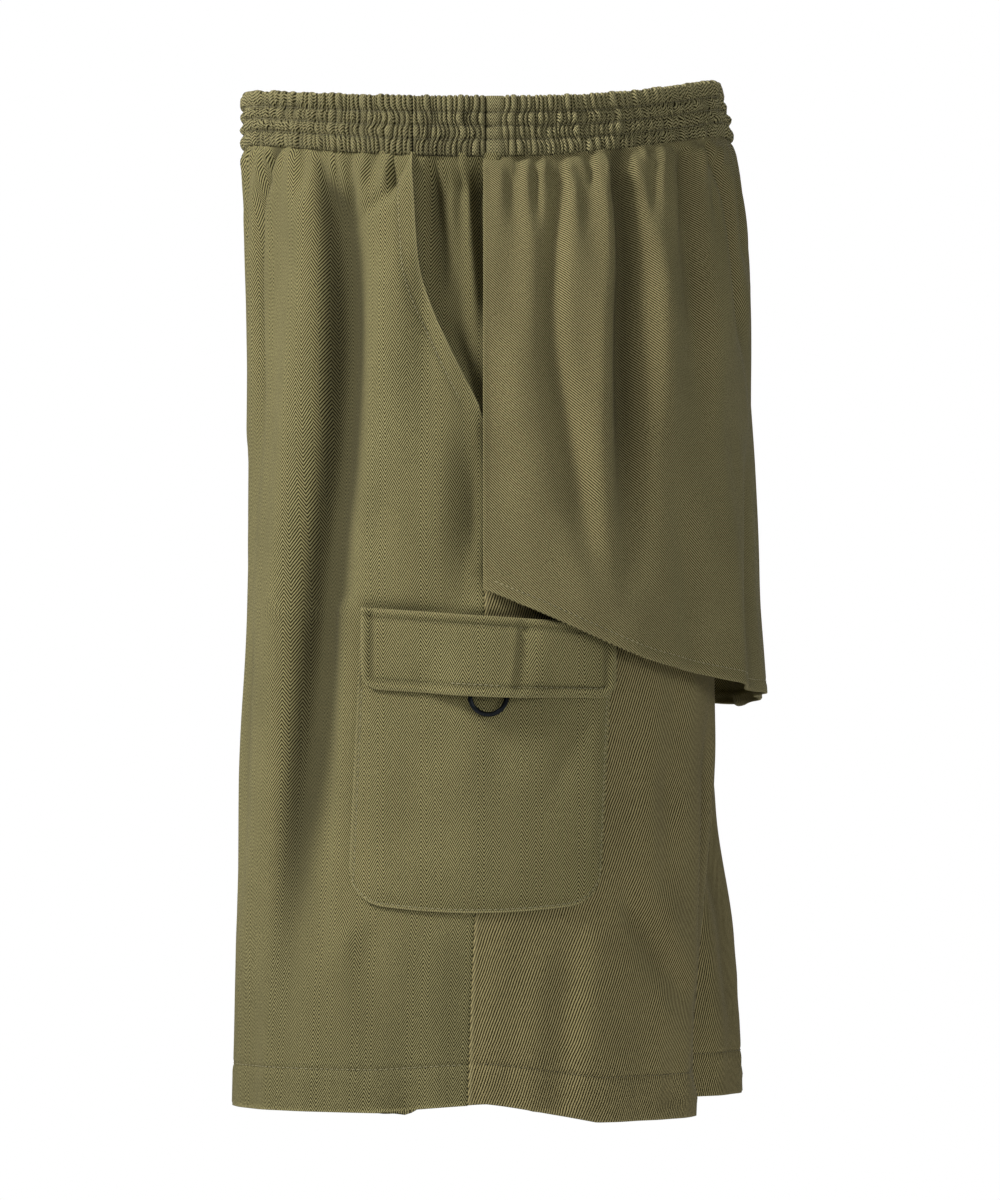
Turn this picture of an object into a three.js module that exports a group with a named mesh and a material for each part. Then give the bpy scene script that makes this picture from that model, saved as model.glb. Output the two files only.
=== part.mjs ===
// Pull-on cargo shorts with an outer seat panel, held up at the waist and filled out.
// Millimetres, +Z up, front towards -Y, the wearer's left towards +X.
// The origin is at the middle of the waistband's height, on the body's centre line.
import * as THREE from 'three';
import { mergeVertices } from 'three/addons/utils/BufferGeometryUtils.js';

// Cloth and seams
const clothWall = 1.6;
const seamGap = 0.3;
const waistGap = 0.5;      // leg panels to waistband
const seatWaistGap = 0.6;  // seat panel to waistband, whose curve it crosses
const layerGap = 0.6;      // between a panel and what is sewn on it
const hemWall = 3.0;       // leg hem, folded twice
const hemHeight = 22;

// Heights
const crotchZ = -268;
const crotchCurveTopZ = -160;
const legHemZ = -527;
const waistSeamZ = -16.2;
const bandTopZ = 16.7;
const bandWall = 3.0;
const spreadTopZ = -314;   // below this the right leg stands back from the left one
const spreadSlope = 0.138;

// How full each quarter of a section is: 0.552 is an ellipse
const bodyFullness = 0.58;
const seatFullness = 0.62;
const centreCrown = 2.8;   // the centre front and back stand out this far beyond the section's corners

// Sections of the left half of the body and the left leg, from the waist to the hem.
// inseamX: where the half meets the centre or the inseam. front, side and back are the three
// outermost points, and the side seam runs through the side point.
const bodySections = [
  { z: 30, inseamX: 0.15, frontX: 42, frontY: -132.2, sideX: 157, sideY: 0, backX: 42, backY: 127.8 },
  { z: -2, inseamX: 0.15, frontX: 44, frontY: -132.6, sideX: 159, sideY: 0, backX: 44, backY: 134.6 },
  { z: -60, inseamX: 0.15, frontX: 52, frontY: -131.8, sideX: 171, sideY: 0, backX: 54, backY: 137 },
  { z: -120, inseamX: 0.15, frontX: 64, frontY: -131, sideX: 181, sideY: 0, backX: 68, backY: 131 },
  { z: -190, inseamX: 0.15, frontX: 80, frontY: -130.6, sideX: 187, sideY: 0, backX: 84, backY: 127 },
  { z: -268, inseamX: 0.15, frontX: 96, frontY: -131.6, sideX: 189, sideY: -0.5, backX: 98, backY: 125 },
  { z: -330, inseamX: 8, frontX: 102, frontY: -133.5, sideX: 187, sideY: -2, backX: 102, backY: 124 },
  { z: -400, inseamX: 15, frontX: 104, frontY: -135, sideX: 186, sideY: -4.5, backX: 104, backY: 121 },
  { z: -470, inseamX: 20, frontX: 106, frontY: -137, sideX: 186, sideY: -7.5, backX: 106, backY: 118 },
  { z: -545, inseamX: 24, frontX: 106, frontY: -138, sideX: 188, sideY: -10, backX: 106, backY: 114 },
];

// Sections of the left half of the outer seat panel, which lies over the side seams and hangs
// clear of the legs behind. standOff: how far its side lies outside the body's side point.
const seatSections = [
  { z: 0, standOff: 2.6, backX: 46, backY: 134.6 },
  { z: -20, standOff: 2.6, backX: 48, backY: 138.7 },
  { z: -55, standOff: 2.6, backX: 54, backY: 143.4 },
  { z: -90, standOff: 2.6, backX: 62, backY: 145 },
  { z: -145, standOff: 2.6, backX: 68, backY: 145.4 },
  { z: -190, standOff: 2.6, backX: 72, backY: 146.8 },
  { z: -240, standOff: 3.6, backX: 74, backY: 148.4 },
  { z: -265, standOff: 7, backX: 75, backY: 149.8 },
  { z: -290, standOff: 9.5, backX: 76, backY: 152 },
  { z: -330, standOff: 10.5, backX: 76, backY: 155.4 },
];
const seatLap = 1.2;       // the seat panel's front edges reach this far past the side seams

// Lower edge of the seat panel, by the share of the way from the left edge to the right one
const seatHem = [
  { along: 0, z: -250 },
  { along: 0.03, z: -263 },
  { along: 0.06, z: -276 },
  { along: 0.09, z: -287 },
  { along: 0.13, z: -295 },
  { along: 0.18, z: -302 },
  { along: 0.24, z: -306.5 },
  { along: 0.36, z: -308 },
  { along: 0.5, z: -308.5 },
  { along: 0.62, z: -310.5 },
  { along: 0.74, z: -313 },
  { along: 0.84, z: -316 },
  { along: 0.89, z: -308 },
  { along: 0.93, z: -289 },
  { along: 0.965, z: -270 },
  { along: 1, z: -254 },
];

// Slant pocket mouth: the free outer edge of the front panel, from the waist to the side seam
const pocketMouth = [
  { z: -10, y: -39.9 },
  { z: -36, y: -38 },
  { z: -60, y: -36.6 },
  { z: -80, y: -34.6 },
  { z: -98, y: -29 },
  { z: -116, y: -20.8 },
  { z: -136, y: -11 },
  { z: -150, y: -4 },
  { z: -160, y: -0.8 },
];
const hipInset = 2.6;      // the hip piece lies this far under the front panel's outer face
const hipUnderlap = 11;
const hipFootZ = -176;

// Largest folds. Each runs down a panel from (topY, topZ) to (lowY, lowZ), bows sideways by
// bow at mid length, and sinks by depth over a half width of width.
const frontFolds = [
  { topY: -93, topZ: -8, lowY: -104, lowZ: -470, bow: 21, width: 9, depth: 4.5 },
  { topY: -121, topZ: -8, lowY: -131, lowZ: -190, bow: 3, width: 8, depth: 3.5 },
  { topY: -66, topZ: -8, lowY: -76, lowZ: -70, bow: 0, width: 7, depth: 3 },
];
const seatFolds = [
  { topY: 66, topZ: -6, lowY: 76, lowZ: -262, bow: -2, width: 8, depth: 5 },
  { topY: 36, topZ: -6, lowY: 28, lowZ: -150, bow: 4, width: 8, depth: 3 },
  { topY: 118, topZ: 4, lowY: 128, lowZ: -130, bow: 3, width: 8, depth: 3.5 },
];
const backLegFolds = [
  { topY: 68, topZ: -420, lowY: 116, lowZ: -500, bow: 0, width: 11, depth: 4.5 },
];

// Cargo pocket, centred on the side seam, and its flap
const pocket = { topZ: -273, footZ: -423, frontTopY: -66.5, frontFootY: -73, backTopY: 68,
  backFootY: 62, cornerRadius: 15, bulge: 2.5, bulgeTopZ: -330 };
const flap = { topFrontZ: -260, topBackZ: -269, footFrontZ: -304, footBackZ: -309, frontY: -65.7,
  backY: 69, cornerRadius: 8 };

// D-ring in its tape, under the lower edge of the flap
const ring = { wire: 2.7, outerWidth: 22.3, centreY: 1.6, barZ: -306, cornerRadius: 2.6 };
const tape = { wall: 1.0, width: 15, clearance: 0.45, height: 13 };

const cloth = { roughness: 0.9, metalness: 0 };
const frontCloth = new THREE.MeshStandardMaterial({ color: '#807a5a', ...cloth });
const backCloth = new THREE.MeshStandardMaterial({ color: '#6f6849', ...cloth });
const bandCloth = new THREE.MeshStandardMaterial({ color: '#676145', ...cloth });
const tapeCloth = new THREE.MeshStandardMaterial({ color: '#5b563c', ...cloth });
const ringMetal = new THREE.MeshStandardMaterial({ color: '#141414', roughness: 0.35, metalness: 0.8 });

const { lerp, clamp, smoothstep } = THREE.MathUtils;

// One column of a table at a height, or at another key, as a smooth curve through its rows
function column(table, name, at, key = 'z') {
  const falling = table[0][key] > table[table.length - 1][key];
  const rows = falling ? [...table].reverse() : table;
  let i = rows.findIndex((row) => row[key] > at) - 1;
  if (i < 0) i = at < rows[0][key] ? 0 : rows.length - 2;
  const [before, low, high, after] = [i - 1, i, i + 1, i + 2]
    .map((n) => rows[clamp(n, 0, rows.length - 1)]);
  const span = high[key] - low[key];
  const slope = (a, b) => (b[key] === a[key] ? 0 : ((b[name] - a[name]) / (b[key] - a[key])) * span);
  const t = clamp((at - low[key]) / span, 0, 1);
  const slopeLow = slope(before, high);
  const slopeHigh = slope(low, after);
  return (2 * t ** 3 - 3 * t ** 2 + 1) * low[name] + (t ** 3 - 2 * t ** 2 + t) * slopeLow
    + (3 * t ** 2 - 2 * t ** 3) * high[name] + (t ** 3 - t ** 2) * slopeHigh;
}

function bezier(a, b, c, d, t) {
  const s = 1 - t;
  const mix = (k) => s ** 3 * a[k] + 3 * s * s * t * b[k] + 3 * s * t * t * c[k] + t ** 3 * d[k];
  return [mix(0), mix(1)];
}

// How far the centre seam has curved from the belly (0) to the crotch point (1) at a height
const crotchTurn = (z) => clamp((crotchCurveTopZ - z) / (crotchCurveTopZ - crotchZ), 0, 1);

// A point of the body's outer face. u runs round the left half: 0 at the centre front or the
// inseam, 1 at the front, 2 at the side seam, 3 at the back, 4 at the inseam or centre back.
function bodyPoint(u, z) {
  const at = (name) => column(bodySections, name, z);
  const front = [at('frontX'), at('frontY')];
  const side = [at('sideX'), at('sideY')];
  const back = [at('backX'), at('backY')];
  const inX = z < crotchZ ? at('inseamX') : seamGap / 2;
  const turn = crotchTurn(z);
  const reach = Math.sqrt(1 - turn * turn);
  const angle = (Math.PI / 2) * turn * turn;
  const isFront = u < 2;
  const outerY = isFront ? front[1] : back[1];
  const seamY = side[1] + (isFront ? -seamGap / 2 : seamGap / 2);
  const crown = (isFront ? -centreCrown : centreCrown) * (1 - turn);
  const inseam = [inX, lerp(seamY, outerY + crown, reach)];
  const k = bodyFullness;
  const middle = isFront ? front : back;
  const turned = [inX + k * (middle[0] - inX) * Math.cos(angle),
    inseam[1] + k * (outerY - inseam[1]) * Math.sin(angle)];
  const inner = [middle[0] - k * (middle[0] - inX), middle[1]];
  const outer = [middle[0] + k * (side[0] - middle[0]), middle[1]];
  const beside = [side[0], side[1] + k * (middle[1] - side[1])];
  let xy;
  if (u <= 1) xy = bezier(inseam, turned, inner, front, u);
  else if (u <= 2) xy = bezier(front, outer, beside, side, u - 1);
  else if (u <= 3) xy = bezier(side, beside, outer, back, u - 2);
  else xy = bezier(back, inner, turned, inseam, u - 3);
  return new THREE.Vector3(xy[0], xy[1], z);
}

// A point of the seat panel's outer face. u runs from 2 at the left side seam to 4 at centre back.
function seatPoint(u, z) {
  const at = (name) => column(seatSections, name, z);
  const side = [column(bodySections, 'sideX', z) + at('standOff'), -seatLap];
  const back = [at('backX'), at('backY')];
  const k = seatFullness;
  const outer = [back[0] + k * (side[0] - back[0]), back[1]];
  const beside = [side[0], side[1] + k * (back[1] - side[1])];
  const centre = [0, back[1] + centreCrown];
  const xy = u <= 3
    ? bezier(side, beside, outer, back, u - 2)
    : bezier(back, [back[0] * 0.6, back[1]], [back[0] * 0.3, centre[1]], centre, u - 3);
  return new THREE.Vector3(xy[0], xy[1], z);
}

// The u between two others at which the body's face has a given y at a height
function uAtY(y, z, fromU, toU) {
  let [low, high] = [fromU, toU];
  for (let i = 0; i < 30; i += 1) {
    const middle = (low + high) / 2;
    if (bodyPoint(middle, z).y < y) low = middle;
    else high = middle;
  }
  return (low + high) / 2;
}
const uOnSide = (y, z) => uAtY(y, z, 1, 3);

// Depth of a set of folds at a place
function foldDepth(folds, y, z) {
  let depth = 0;
  for (const fold of folds) {
    const along = (z - fold.topZ) / (fold.lowZ - fold.topZ);
    if (along <= 0 || along >= 1) continue;
    const middleY = lerp(fold.topY, fold.lowY, along) + fold.bow * Math.sin(Math.PI * along);
    const fade = smoothstep(along, 0, 0.12) * smoothstep(1 - along, 0, 0.45);
    depth += fold.depth * fade * Math.exp(-(((y - middleY) / fold.width) ** 2));
  }
  return depth;
}

// The unit normal of a face given by two parameters, pointing out of the body
function normalAt(point, u, z) {
  const step = 0.01;
  const alongU = point(u + step, z).sub(point(u - step, z));
  const alongZ = point(u, z + 1).sub(point(u, z - 1));
  return alongU.cross(alongZ).normalize();
}

function movedOut(point, u, z, distance) {
  return point(u, z).addScaledVector(normalAt(point, u, z), distance);
}

// The body's outer face with its folds, moved out by a distance
function bodyFace(u, z, distance = 0) {
  const { y } = bodyPoint(u, z);
  const folds = u < 2 ? frontFolds : backLegFolds;
  return movedOut(bodyPoint, u, z, distance - foldDepth(folds, y, z));
}

function seatFace(u, z, distance = 0) {
  const { y } = seatPoint(u, z);
  return movedOut(seatPoint, u, z, distance - foldDepth(seatFolds, y, z));
}

// Heights that follow the body round: the waist seam rises to the front and back
function waistSeam(y) {
  const rise = y < 0 ? 11.7 : 16;
  return waistSeamZ + rise * Math.min(1, Math.abs(y) / 136) ** 2.2;
}
function bandTop(y) {
  const rise = y < 0 ? 8.8 : 11.8;
  return bandTopZ + rise * Math.min(1, Math.abs(y) / 133) ** 2.2;
}
function legHem(y) {
  const drop = y < 0 ? 6 : 9;
  return legHemZ - drop * Math.min(1, Math.abs(y) / 60) ** 1.2;
}

// A wall as one closed solid: two grids of points, faceAt(s, t, depth) on the outer and the
// inner side, joined round the rim. s and t are lists from 0 to 1.
function wall(across, down, faceAt) {
  const columns = across.length;
  const rows = down.length;
  const positions = [];
  for (const inside of [false, true]) {
    for (const t of down) {
      for (const s of across) positions.push(...faceAt(s, t, inside).toArray());
    }
  }
  const layer = columns * rows;
  const index = [];
  const quad = (a, b, c, d) => index.push(a, b, c, a, c, d);
  for (let j = 0; j < rows - 1; j += 1) {
    for (let i = 0; i < columns - 1; i += 1) {
      const a = j * columns + i;
      quad(a, a + columns, a + columns + 1, a + 1);
      quad(layer + a, layer + a + 1, layer + a + columns + 1, layer + a + columns);
    }
  }
  const rim = [];
  for (let i = 0; i < columns; i += 1) rim.push(i);
  for (let j = 1; j < rows; j += 1) rim.push(j * columns + columns - 1);
  for (let i = columns - 2; i >= 0; i -= 1) rim.push((rows - 1) * columns + i);
  for (let j = rows - 2; j > 0; j -= 1) rim.push(j * columns);
  rim.forEach((a, n) => {
    const b = rim[(n + 1) % rim.length];
    quad(a, b, layer + b, layer + a);
  });
  const geometry = new THREE.BufferGeometry();
  geometry.setAttribute('position', new THREE.Float32BufferAttribute(positions, 3));
  geometry.setIndex(index);
  return geometry;
}

// The right side mirrors the left, and its leg stands back below spreadTopZ
function toSide(geometry, side) {
  if (side > 0) return geometry;
  const place = geometry.getAttribute('position');
  for (let i = 0; i < place.count; i += 1) {
    const setBack = Math.max(0, spreadTopZ - place.getZ(i)) * spreadSlope;
    place.setX(i, -place.getX(i));
    place.setY(i, place.getY(i) + setBack);
  }
  const faces = geometry.getIndex().array;
  for (let i = 0; i < faces.length; i += 3) [faces[i], faces[i + 1]] = [faces[i + 1], faces[i]];
  return geometry;
}

const even = (count) => Array.from({ length: count + 1 }, (_, i) => i / count);

// Rows of a leg panel, closer together round the crotch point and at the hem
const hemRows = [hemHeight + 2, hemHeight, 0];
function legRows(topZ) {
  const heights = [-16, -38, -62, -88, -114, -138, -160, -182, -204, -222, -238, -250, -259, -265, crotchZ,
    -288, -314, -342, -370, -400, -430, -460, -486];
  return [topZ, ...heights.filter((z) => z < topZ - 8), ...hemRows.map((above) => legHemZ + above)];
}

// A leg panel between two edges, each given as u by height. Its rows follow the waist seam or
// its own top edge, and the hem.
function legPanel(across, topAt, startAt, endAt) {
  const heights = legRows(topAt(0));
  const spread = (z, limit, edge) => (edge - limit) * clamp(1 - Math.abs(z - limit) / 90, 0, 1);
  return wall(across, even(heights.length - 1), (s, t, inside) => {
    const row = heights[Math.round(t * (heights.length - 1))];
    const uAt = (z) => lerp(startAt(z), endAt(z), s);
    const { y } = bodyPoint(uAt(row), row);
    const z = row + spread(row, heights[0], topAt(s, y)) + spread(row, legHemZ, legHem(y));
    const thick = row < legHemZ + hemHeight + 1 ? hemWall : clothWall;
    return bodyFace(uAt(z), z, inside ? -thick : 0);
  });
}

// Columns of the front panel, closer together from the front to the side seam
const frontAcross = [0, 0.12, 0.25, 0.36, 0.45, 0.53, 0.59, 0.64, 0.69, 0.735, 0.78, 0.825, 0.87, 0.915,
  0.96, 1];

function frontPanel() {
  const mouthAt = (z) => {
    if (z < pocketMouth.at(-1).z) return 2 - 0.002;
    return uAtY(column(pocketMouth, 'y', z), z, 1, 2);
  };
  return legPanel(frontAcross, (s, y = 0) => waistSeam(y) - waistGap, () => 0, mouthAt);
}

// The back of a leg. Its top edge falls from the side seam to the crotch point, under the seat
// panel, and below levelZ its rows match the front panel's along the inseam.
function backLegPanel() {
  const topZ = -150;
  const levelZ = -288;
  const across = [0, 0.06, 0.12, 0.19, 0.26, 0.33, 0.41, 0.5, 0.62, 0.75, 0.88, 1];
  const above = even(5).slice(0, -1);
  const level = legRows(levelZ + 1).slice(1);
  const rowCount = above.length + level.length;
  return wall(across, even(rowCount - 1), (s, t, inside) => {
    const row = Math.round(t * (rowCount - 1));
    const u = lerp(2.002, 4, s);
    const share = above[row];
    const rowZ = level[row - above.length];
    const drop = legHem(bodyPoint(u, legHemZ).y) - legHemZ;
    const z = row < above.length
      ? lerp(lerp(topZ, crotchZ, smoothstep(s, 0, 1)), levelZ, share)
      : rowZ + drop * clamp(1 - (rowZ - legHemZ) / 90, 0, 1);
    const thick = z < legHemZ + drop + hemHeight + 1 ? hemWall : clothWall;
    return bodyFace(u, z, inside ? -thick : 0);
  });
}

function hipPiece() {
  return wall(even(4), even(9), (s, t, inside) => {
    const yAt = (z) => lerp(column(pocketMouth, 'y', Math.max(z, -150)) - hipUnderlap, -0.3, s);
    const rough = lerp(waistSeamZ, hipFootZ, t);
    const z = t === 0 ? waistSeam(yAt(rough)) - waistGap : rough;
    return movedOut(bodyPoint, uAtY(yAt(z), z, 1, 2), z, -hipInset - (inside ? clothWall : 0));
  });
}

// Where the seat panel meets the waistband: the seam's height depends on y, and y on the height
function seatTop(u) {
  let z = waistSeamZ;
  for (let i = 0; i < 5; i += 1) z = waistSeam(seatPoint(u, z).y) - seatWaistGap;
  return z;
}

// The seat panel runs right round the back, from the left side seam to the right one
function seatPanel() {
  const across = [0, 0.012, 0.03, 0.045, 0.06, 0.078, 0.1, 0.14, 0.18, 0.22, 0.26, 0.3, 0.34, 0.38, 0.42, 0.46, 0.5]
    .flatMap((s) => (s < 0.5 ? [s, 1 - s] : [s])).sort((a, b) => a - b);
  return wall(across, even(14), (s, t, inside) => {
    const isRight = s > 0.5;
    const u = 2 + 4 * (isRight ? 1 - s : s);
    const z = lerp(seatTop(u), column(seatHem, 'z', s, 'along'), t);
    const point = seatFace(u, z, inside ? -clothWall : 0);
    if (isRight) point.x = -point.x;
    return point;
  });
}

// A length of waistband between two angles' u, standing on the panels' top edges. u beyond 4
// is the mirrored right half.
function bandPiece(fromU, toU, columns, faceAt) {
  return wall(even(columns), even(3), (s, t, inside) => {
    const u = lerp(fromU, toU, s);
    const isRight = u > 4 || u < 0;
    const halfU = u > 4 ? 8 - u : Math.abs(u);
    const { y } = faceAt(halfU, 0);
    const z = lerp(bandTop(y), waistSeam(y), t);
    const point = movedOut(faceAt, halfU, z, inside ? -bandWall : 0);
    if (isRight) point.x = -point.x;
    return point;
  });
}
const bandSeamU = uAtY(-39.9, 0, 1, 2);
const bandJoin = 0.003;    // half of a seam's gap in u

// The band's face, level with the panels below at its foot
const bandFace = (u, z) => movedOut(bodyPoint, u, z, 0.4);

// A patch on the side of the leg: y and z by two shares, moved out from the panels' face
function sidePatch(across, down, placeAt, standOffAt) {
  return wall(across, down, (s, t, inside) => {
    const { y, z } = placeAt(s, t);
    return bodyFace(uOnSide(y, z), z, standOffAt(y, z) - (inside ? clothWall : 0));
  });
}

// How much a rounded lower corner lifts the foot at a distance from the patch's edge
const cornerLift = (radius, distance) => (distance < radius
  ? radius - Math.sqrt(radius * radius - (radius - distance) ** 2) : 0);

const pocketOuter = layerGap + clothWall;

function cargoPocket() {
  const across = [0, 0.035, 0.09, 0.2, 0.32, 0.44, 0.56, 0.68, 0.8, 0.91, 0.965, 1];
  const { topZ, footZ, cornerRadius } = pocket;
  const placeAt = (s, t) => {
    const frontY = lerp(pocket.frontTopY, pocket.frontFootY, t);
    const y = lerp(frontY, lerp(pocket.backTopY, pocket.backFootY, t), s);
    const edge = Math.min(s, 1 - s) * (pocket.backTopY - pocket.frontTopY);
    return { y, z: lerp(topZ, footZ + cornerLift(cornerRadius, edge), t) };
  };
  const standOffAt = (y, z) => {
    const round = Math.sin(Math.PI * clamp((y + 70) / 136, 0, 1));
    const swell = smoothstep(pocket.bulgeTopZ - z, 0, 30) * smoothstep(z - footZ, 0, 30);
    return pocketOuter + pocket.bulge * round * swell;
  };
  return sidePatch(across, even(8), placeAt, standOffAt);
}

// The flap lies on the pocket, and its lower edge stands out over the ring's tape
const ringSpace = ring.wire + 2 * (tape.clearance + tape.wall) + seamGap * 3;
function flapStandOff(y, z) {
  const flat = pocketOuter + layerGap + clothWall;
  const bulgeTopZ = flap.topFrontZ - 6;
  const down = clamp((bulgeTopZ - z) / (bulgeTopZ - ring.barZ), 0, 1.1);
  const beside = clamp((Math.abs(y - ring.centreY) - tape.width / 2 - 3) / 26, 0, 1);
  return flat + (ringSpace - layerGap) * down ** 1.4 * (1 - smoothstep(beside, 0, 1));
}

function cargoFlap() {
  const across = [0, 0.03, 0.07, 0.16, 0.25, 0.34, 0.43, 0.5, 0.57, 0.66, 0.75, 0.84, 0.93, 0.97, 1];
  const width = flap.backY - flap.frontY;
  const placeAt = (s, t) => {
    const foot = lerp(flap.footFrontZ, flap.footBackZ, s)
      + cornerLift(flap.cornerRadius, Math.min(s, 1 - s) * width);
    const top = lerp(flap.topFrontZ, flap.topBackZ, s);
    return { y: lerp(flap.frontY, flap.backY, s), z: lerp(top, foot, t) };
  };
  return sidePatch(across, even(6), placeAt, flapStandOff);
}

// Where the ring's bar lies: outside the pocket, the tape's inner layer and its clearance
const barX = movedOut(bodyPoint, uOnSide(ring.centreY, ring.barZ), ring.barZ,
  pocketOuter + seamGap + tape.wall + tape.clearance + ring.wire / 2).x;

// Tape folded over the bar and sewn together above it: a drop-shaped loop, seen along the bar
function ringTape() {
  const inner = ring.wire / 2 + tape.clearance;
  const outer = inner + tape.wall;
  const neck = 5.5;
  const lean = -0.8;       // the sewn end leans in, between the pocket and the flap
  const outline = new THREE.Shape();
  outline.absarc(0, 0, outer, Math.PI, 2 * Math.PI);
  outline.lineTo(lean + tape.wall, neck);
  outline.lineTo(lean + tape.wall, tape.height);
  outline.lineTo(lean - tape.wall, tape.height);
  outline.lineTo(lean - tape.wall, neck);
  outline.closePath();
  const hole = new THREE.Path();
  hole.absarc(0, 0, inner, Math.PI, 2 * Math.PI);
  hole.lineTo(lean + 0.15, neck - 1);
  hole.lineTo(lean - 0.15, neck - 1);
  hole.closePath();
  outline.holes.push(hole);
  const shape = new THREE.ExtrudeGeometry(outline,
    { depth: tape.width, bevelEnabled: false, curveSegments: 8 });
  shape.rotateX(Math.PI / 2);
  shape.translate(barX, ring.centreY + tape.width / 2, ring.barZ);
  shape.deleteAttribute('normal');
  shape.deleteAttribute('uv');
  return mergeVertices(shape);
}

// D-ring: a straight bar along Y, closed by a half circle below it, as a tube of nine sides
// that is turned so that none of its corners lies level with the bar
function dRing() {
  const radius = (ring.outerWidth - ring.wire) / 2;
  const corner = ring.cornerRadius;
  const outline = new THREE.Path();
  outline.absarc(0, 0, radius, -Math.PI, -0.26, false);
  outline.absarc(radius - corner, -corner, corner, -0.15, Math.PI / 2, false);
  outline.absarc(-radius + corner, -corner, corner, Math.PI / 2, Math.PI + 0.15, false);
  const points = outline.getSpacedPoints(33);
  const loop = points.filter((p, i) => i === 0 || p.distanceTo(points[0]) > 0.9);
  const sides = 9;
  const positions = [];
  loop.forEach((p, i) => {
    const after = loop[(i + 1) % loop.length];
    const before = loop[(i + loop.length - 1) % loop.length];
    const ahead = after.clone().sub(before).normalize();
    for (let n = 0; n < sides; n += 1) {
      const turn = (2 * Math.PI * (n + 0.37)) / sides;
      const out = (ring.wire / 2) * Math.cos(turn);
      positions.push(barX + (ring.wire / 2) * Math.sin(turn), ring.centreY + p.x + out * ahead.y,
        ring.barZ + p.y - out * ahead.x);
    }
  });
  const index = [];
  for (let i = 0; i < loop.length; i += 1) {
    for (let n = 0; n < sides; n += 1) {
      const next = ((i + 1) % loop.length) * sides;
      const [a, b] = [i * sides + n, i * sides + ((n + 1) % sides)];
      const [c, d] = [next + ((n + 1) % sides), next + n];
      index.push(a, c, b, a, d, c);
    }
  }
  const geometry = new THREE.BufferGeometry();
  geometry.setAttribute('position', new THREE.Float32BufferAttribute(positions, 3));
  geometry.setIndex(index);
  return geometry;
}

const shorts = new THREE.Group();
function addPiece(name, geometry, material) {
  const piece = new THREE.Mesh(geometry, material);
  piece.name = name;
  shorts.add(piece);
}

for (const [side, word] of [[1, 'left'], [-1, 'right']]) {
  addPiece(`front_${word}`, toSide(frontPanel(), side), frontCloth);
  addPiece(`hip_${word}`, toSide(hipPiece(), side), frontCloth);
  addPiece(`back_leg_${word}`, toSide(backLegPanel(), side), backCloth);
  addPiece(`cargo_pocket_${word}`, toSide(cargoPocket(), side), frontCloth);
  addPiece(`cargo_flap_${word}`, toSide(cargoFlap(), side), frontCloth);
  addPiece(`ring_tape_${word}`, toSide(ringTape(), side), tapeCloth);
  addPiece(`d_ring_${word}`, toSide(dRing(), side), ringMetal);
  const bandHip = bandPiece(bandSeamU + bandJoin, 2 - bandJoin, 5, bandFace);
  addPiece(`band_hip_${word}`, toSide(bandHip, side), bandCloth);
}
addPiece('seat_flap', seatPanel(), backCloth);
addPiece('band_front', bandPiece(-bandSeamU, bandSeamU, 22, bandFace), bandCloth);
addPiece('band_back', bandPiece(2, 6, 30, bandFace), bandCloth);

export default shorts;
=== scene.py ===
import math
import random
import bmesh
import bpy
import numpy as np
from mathutils import Matrix, Vector


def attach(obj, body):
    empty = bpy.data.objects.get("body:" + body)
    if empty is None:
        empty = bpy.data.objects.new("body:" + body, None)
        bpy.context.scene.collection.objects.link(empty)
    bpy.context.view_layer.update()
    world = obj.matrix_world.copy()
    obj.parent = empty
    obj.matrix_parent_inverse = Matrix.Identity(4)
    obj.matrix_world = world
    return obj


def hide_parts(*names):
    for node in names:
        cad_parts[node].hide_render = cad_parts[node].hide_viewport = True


# Pull-on cargo shorts in olive herringbone twill, held up and filled out as if worn.
# Sizes are in millimetres until a mesh is filled: +Z up, front towards -Y, wearer's left towards +X.
# A place on the cloth is (a, z): a runs round the body from the side seam, negative to the front.

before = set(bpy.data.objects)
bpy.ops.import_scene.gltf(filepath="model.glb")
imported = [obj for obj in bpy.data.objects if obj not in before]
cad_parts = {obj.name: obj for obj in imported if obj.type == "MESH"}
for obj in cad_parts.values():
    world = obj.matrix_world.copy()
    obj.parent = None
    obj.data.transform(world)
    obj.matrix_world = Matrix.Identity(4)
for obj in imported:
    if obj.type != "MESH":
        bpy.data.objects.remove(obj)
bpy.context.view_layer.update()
scene = bpy.context.scene
scene.view_settings.view_transform = "Standard"


# Camera, lights and floor

view = {"distance": 4.5, "y": 0.00784, "z": -0.256, "height": 0.672, "sensor": 36}

camera = bpy.data.objects.new("camera", bpy.data.cameras.new("camera"))
scene.collection.objects.link(camera)
camera.location = (view["distance"], view["y"], view["z"])
camera.rotation_euler = (math.pi / 2, 0, math.pi / 2)
camera.data.sensor_width = view["sensor"]
camera.data.lens = view["sensor"] * view["distance"] / view["height"]
scene.camera = camera

studio = {
    "key": {"at": (1.3, -2.45, 2.0), "size": 0.9, "power": 116, "tint": (1.0, 0.985, 0.96)},
    "fill": {"at": (2.9, 2.4, 0.7), "size": 1.5, "power": 30, "tint": (0.97, 0.98, 1.0)},
    "front": {"at": (3.9, -0.4, 0.9), "size": 1.4, "power": 10, "tint": (1.0, 1.0, 1.0)},
    "back": {"at": (-3.0, 1.2, 1.6), "size": 2.0, "power": 26, "tint": (1.0, 1.0, 1.0)},
    "ambient": 0.07,
    "floorZ": -1.05,
    "floorRadius": 2.6,
}


# Adds a node. An input is a plain value, a socket, or a node whose first output is meant.
def addNode(tree, kind, inputs=None, **settings):
    node = tree.nodes.new(kind)
    for name, value in settings.items():
        setattr(node, name, value)
    for name, value in (inputs or {}).items():
        if isinstance(value, bpy.types.Node):
            value = value.outputs[0]
        if isinstance(value, bpy.types.NodeSocket):
            tree.links.new(value, node.inputs[name])
        else:
            node.inputs[name].default_value = value
    return node


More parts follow.
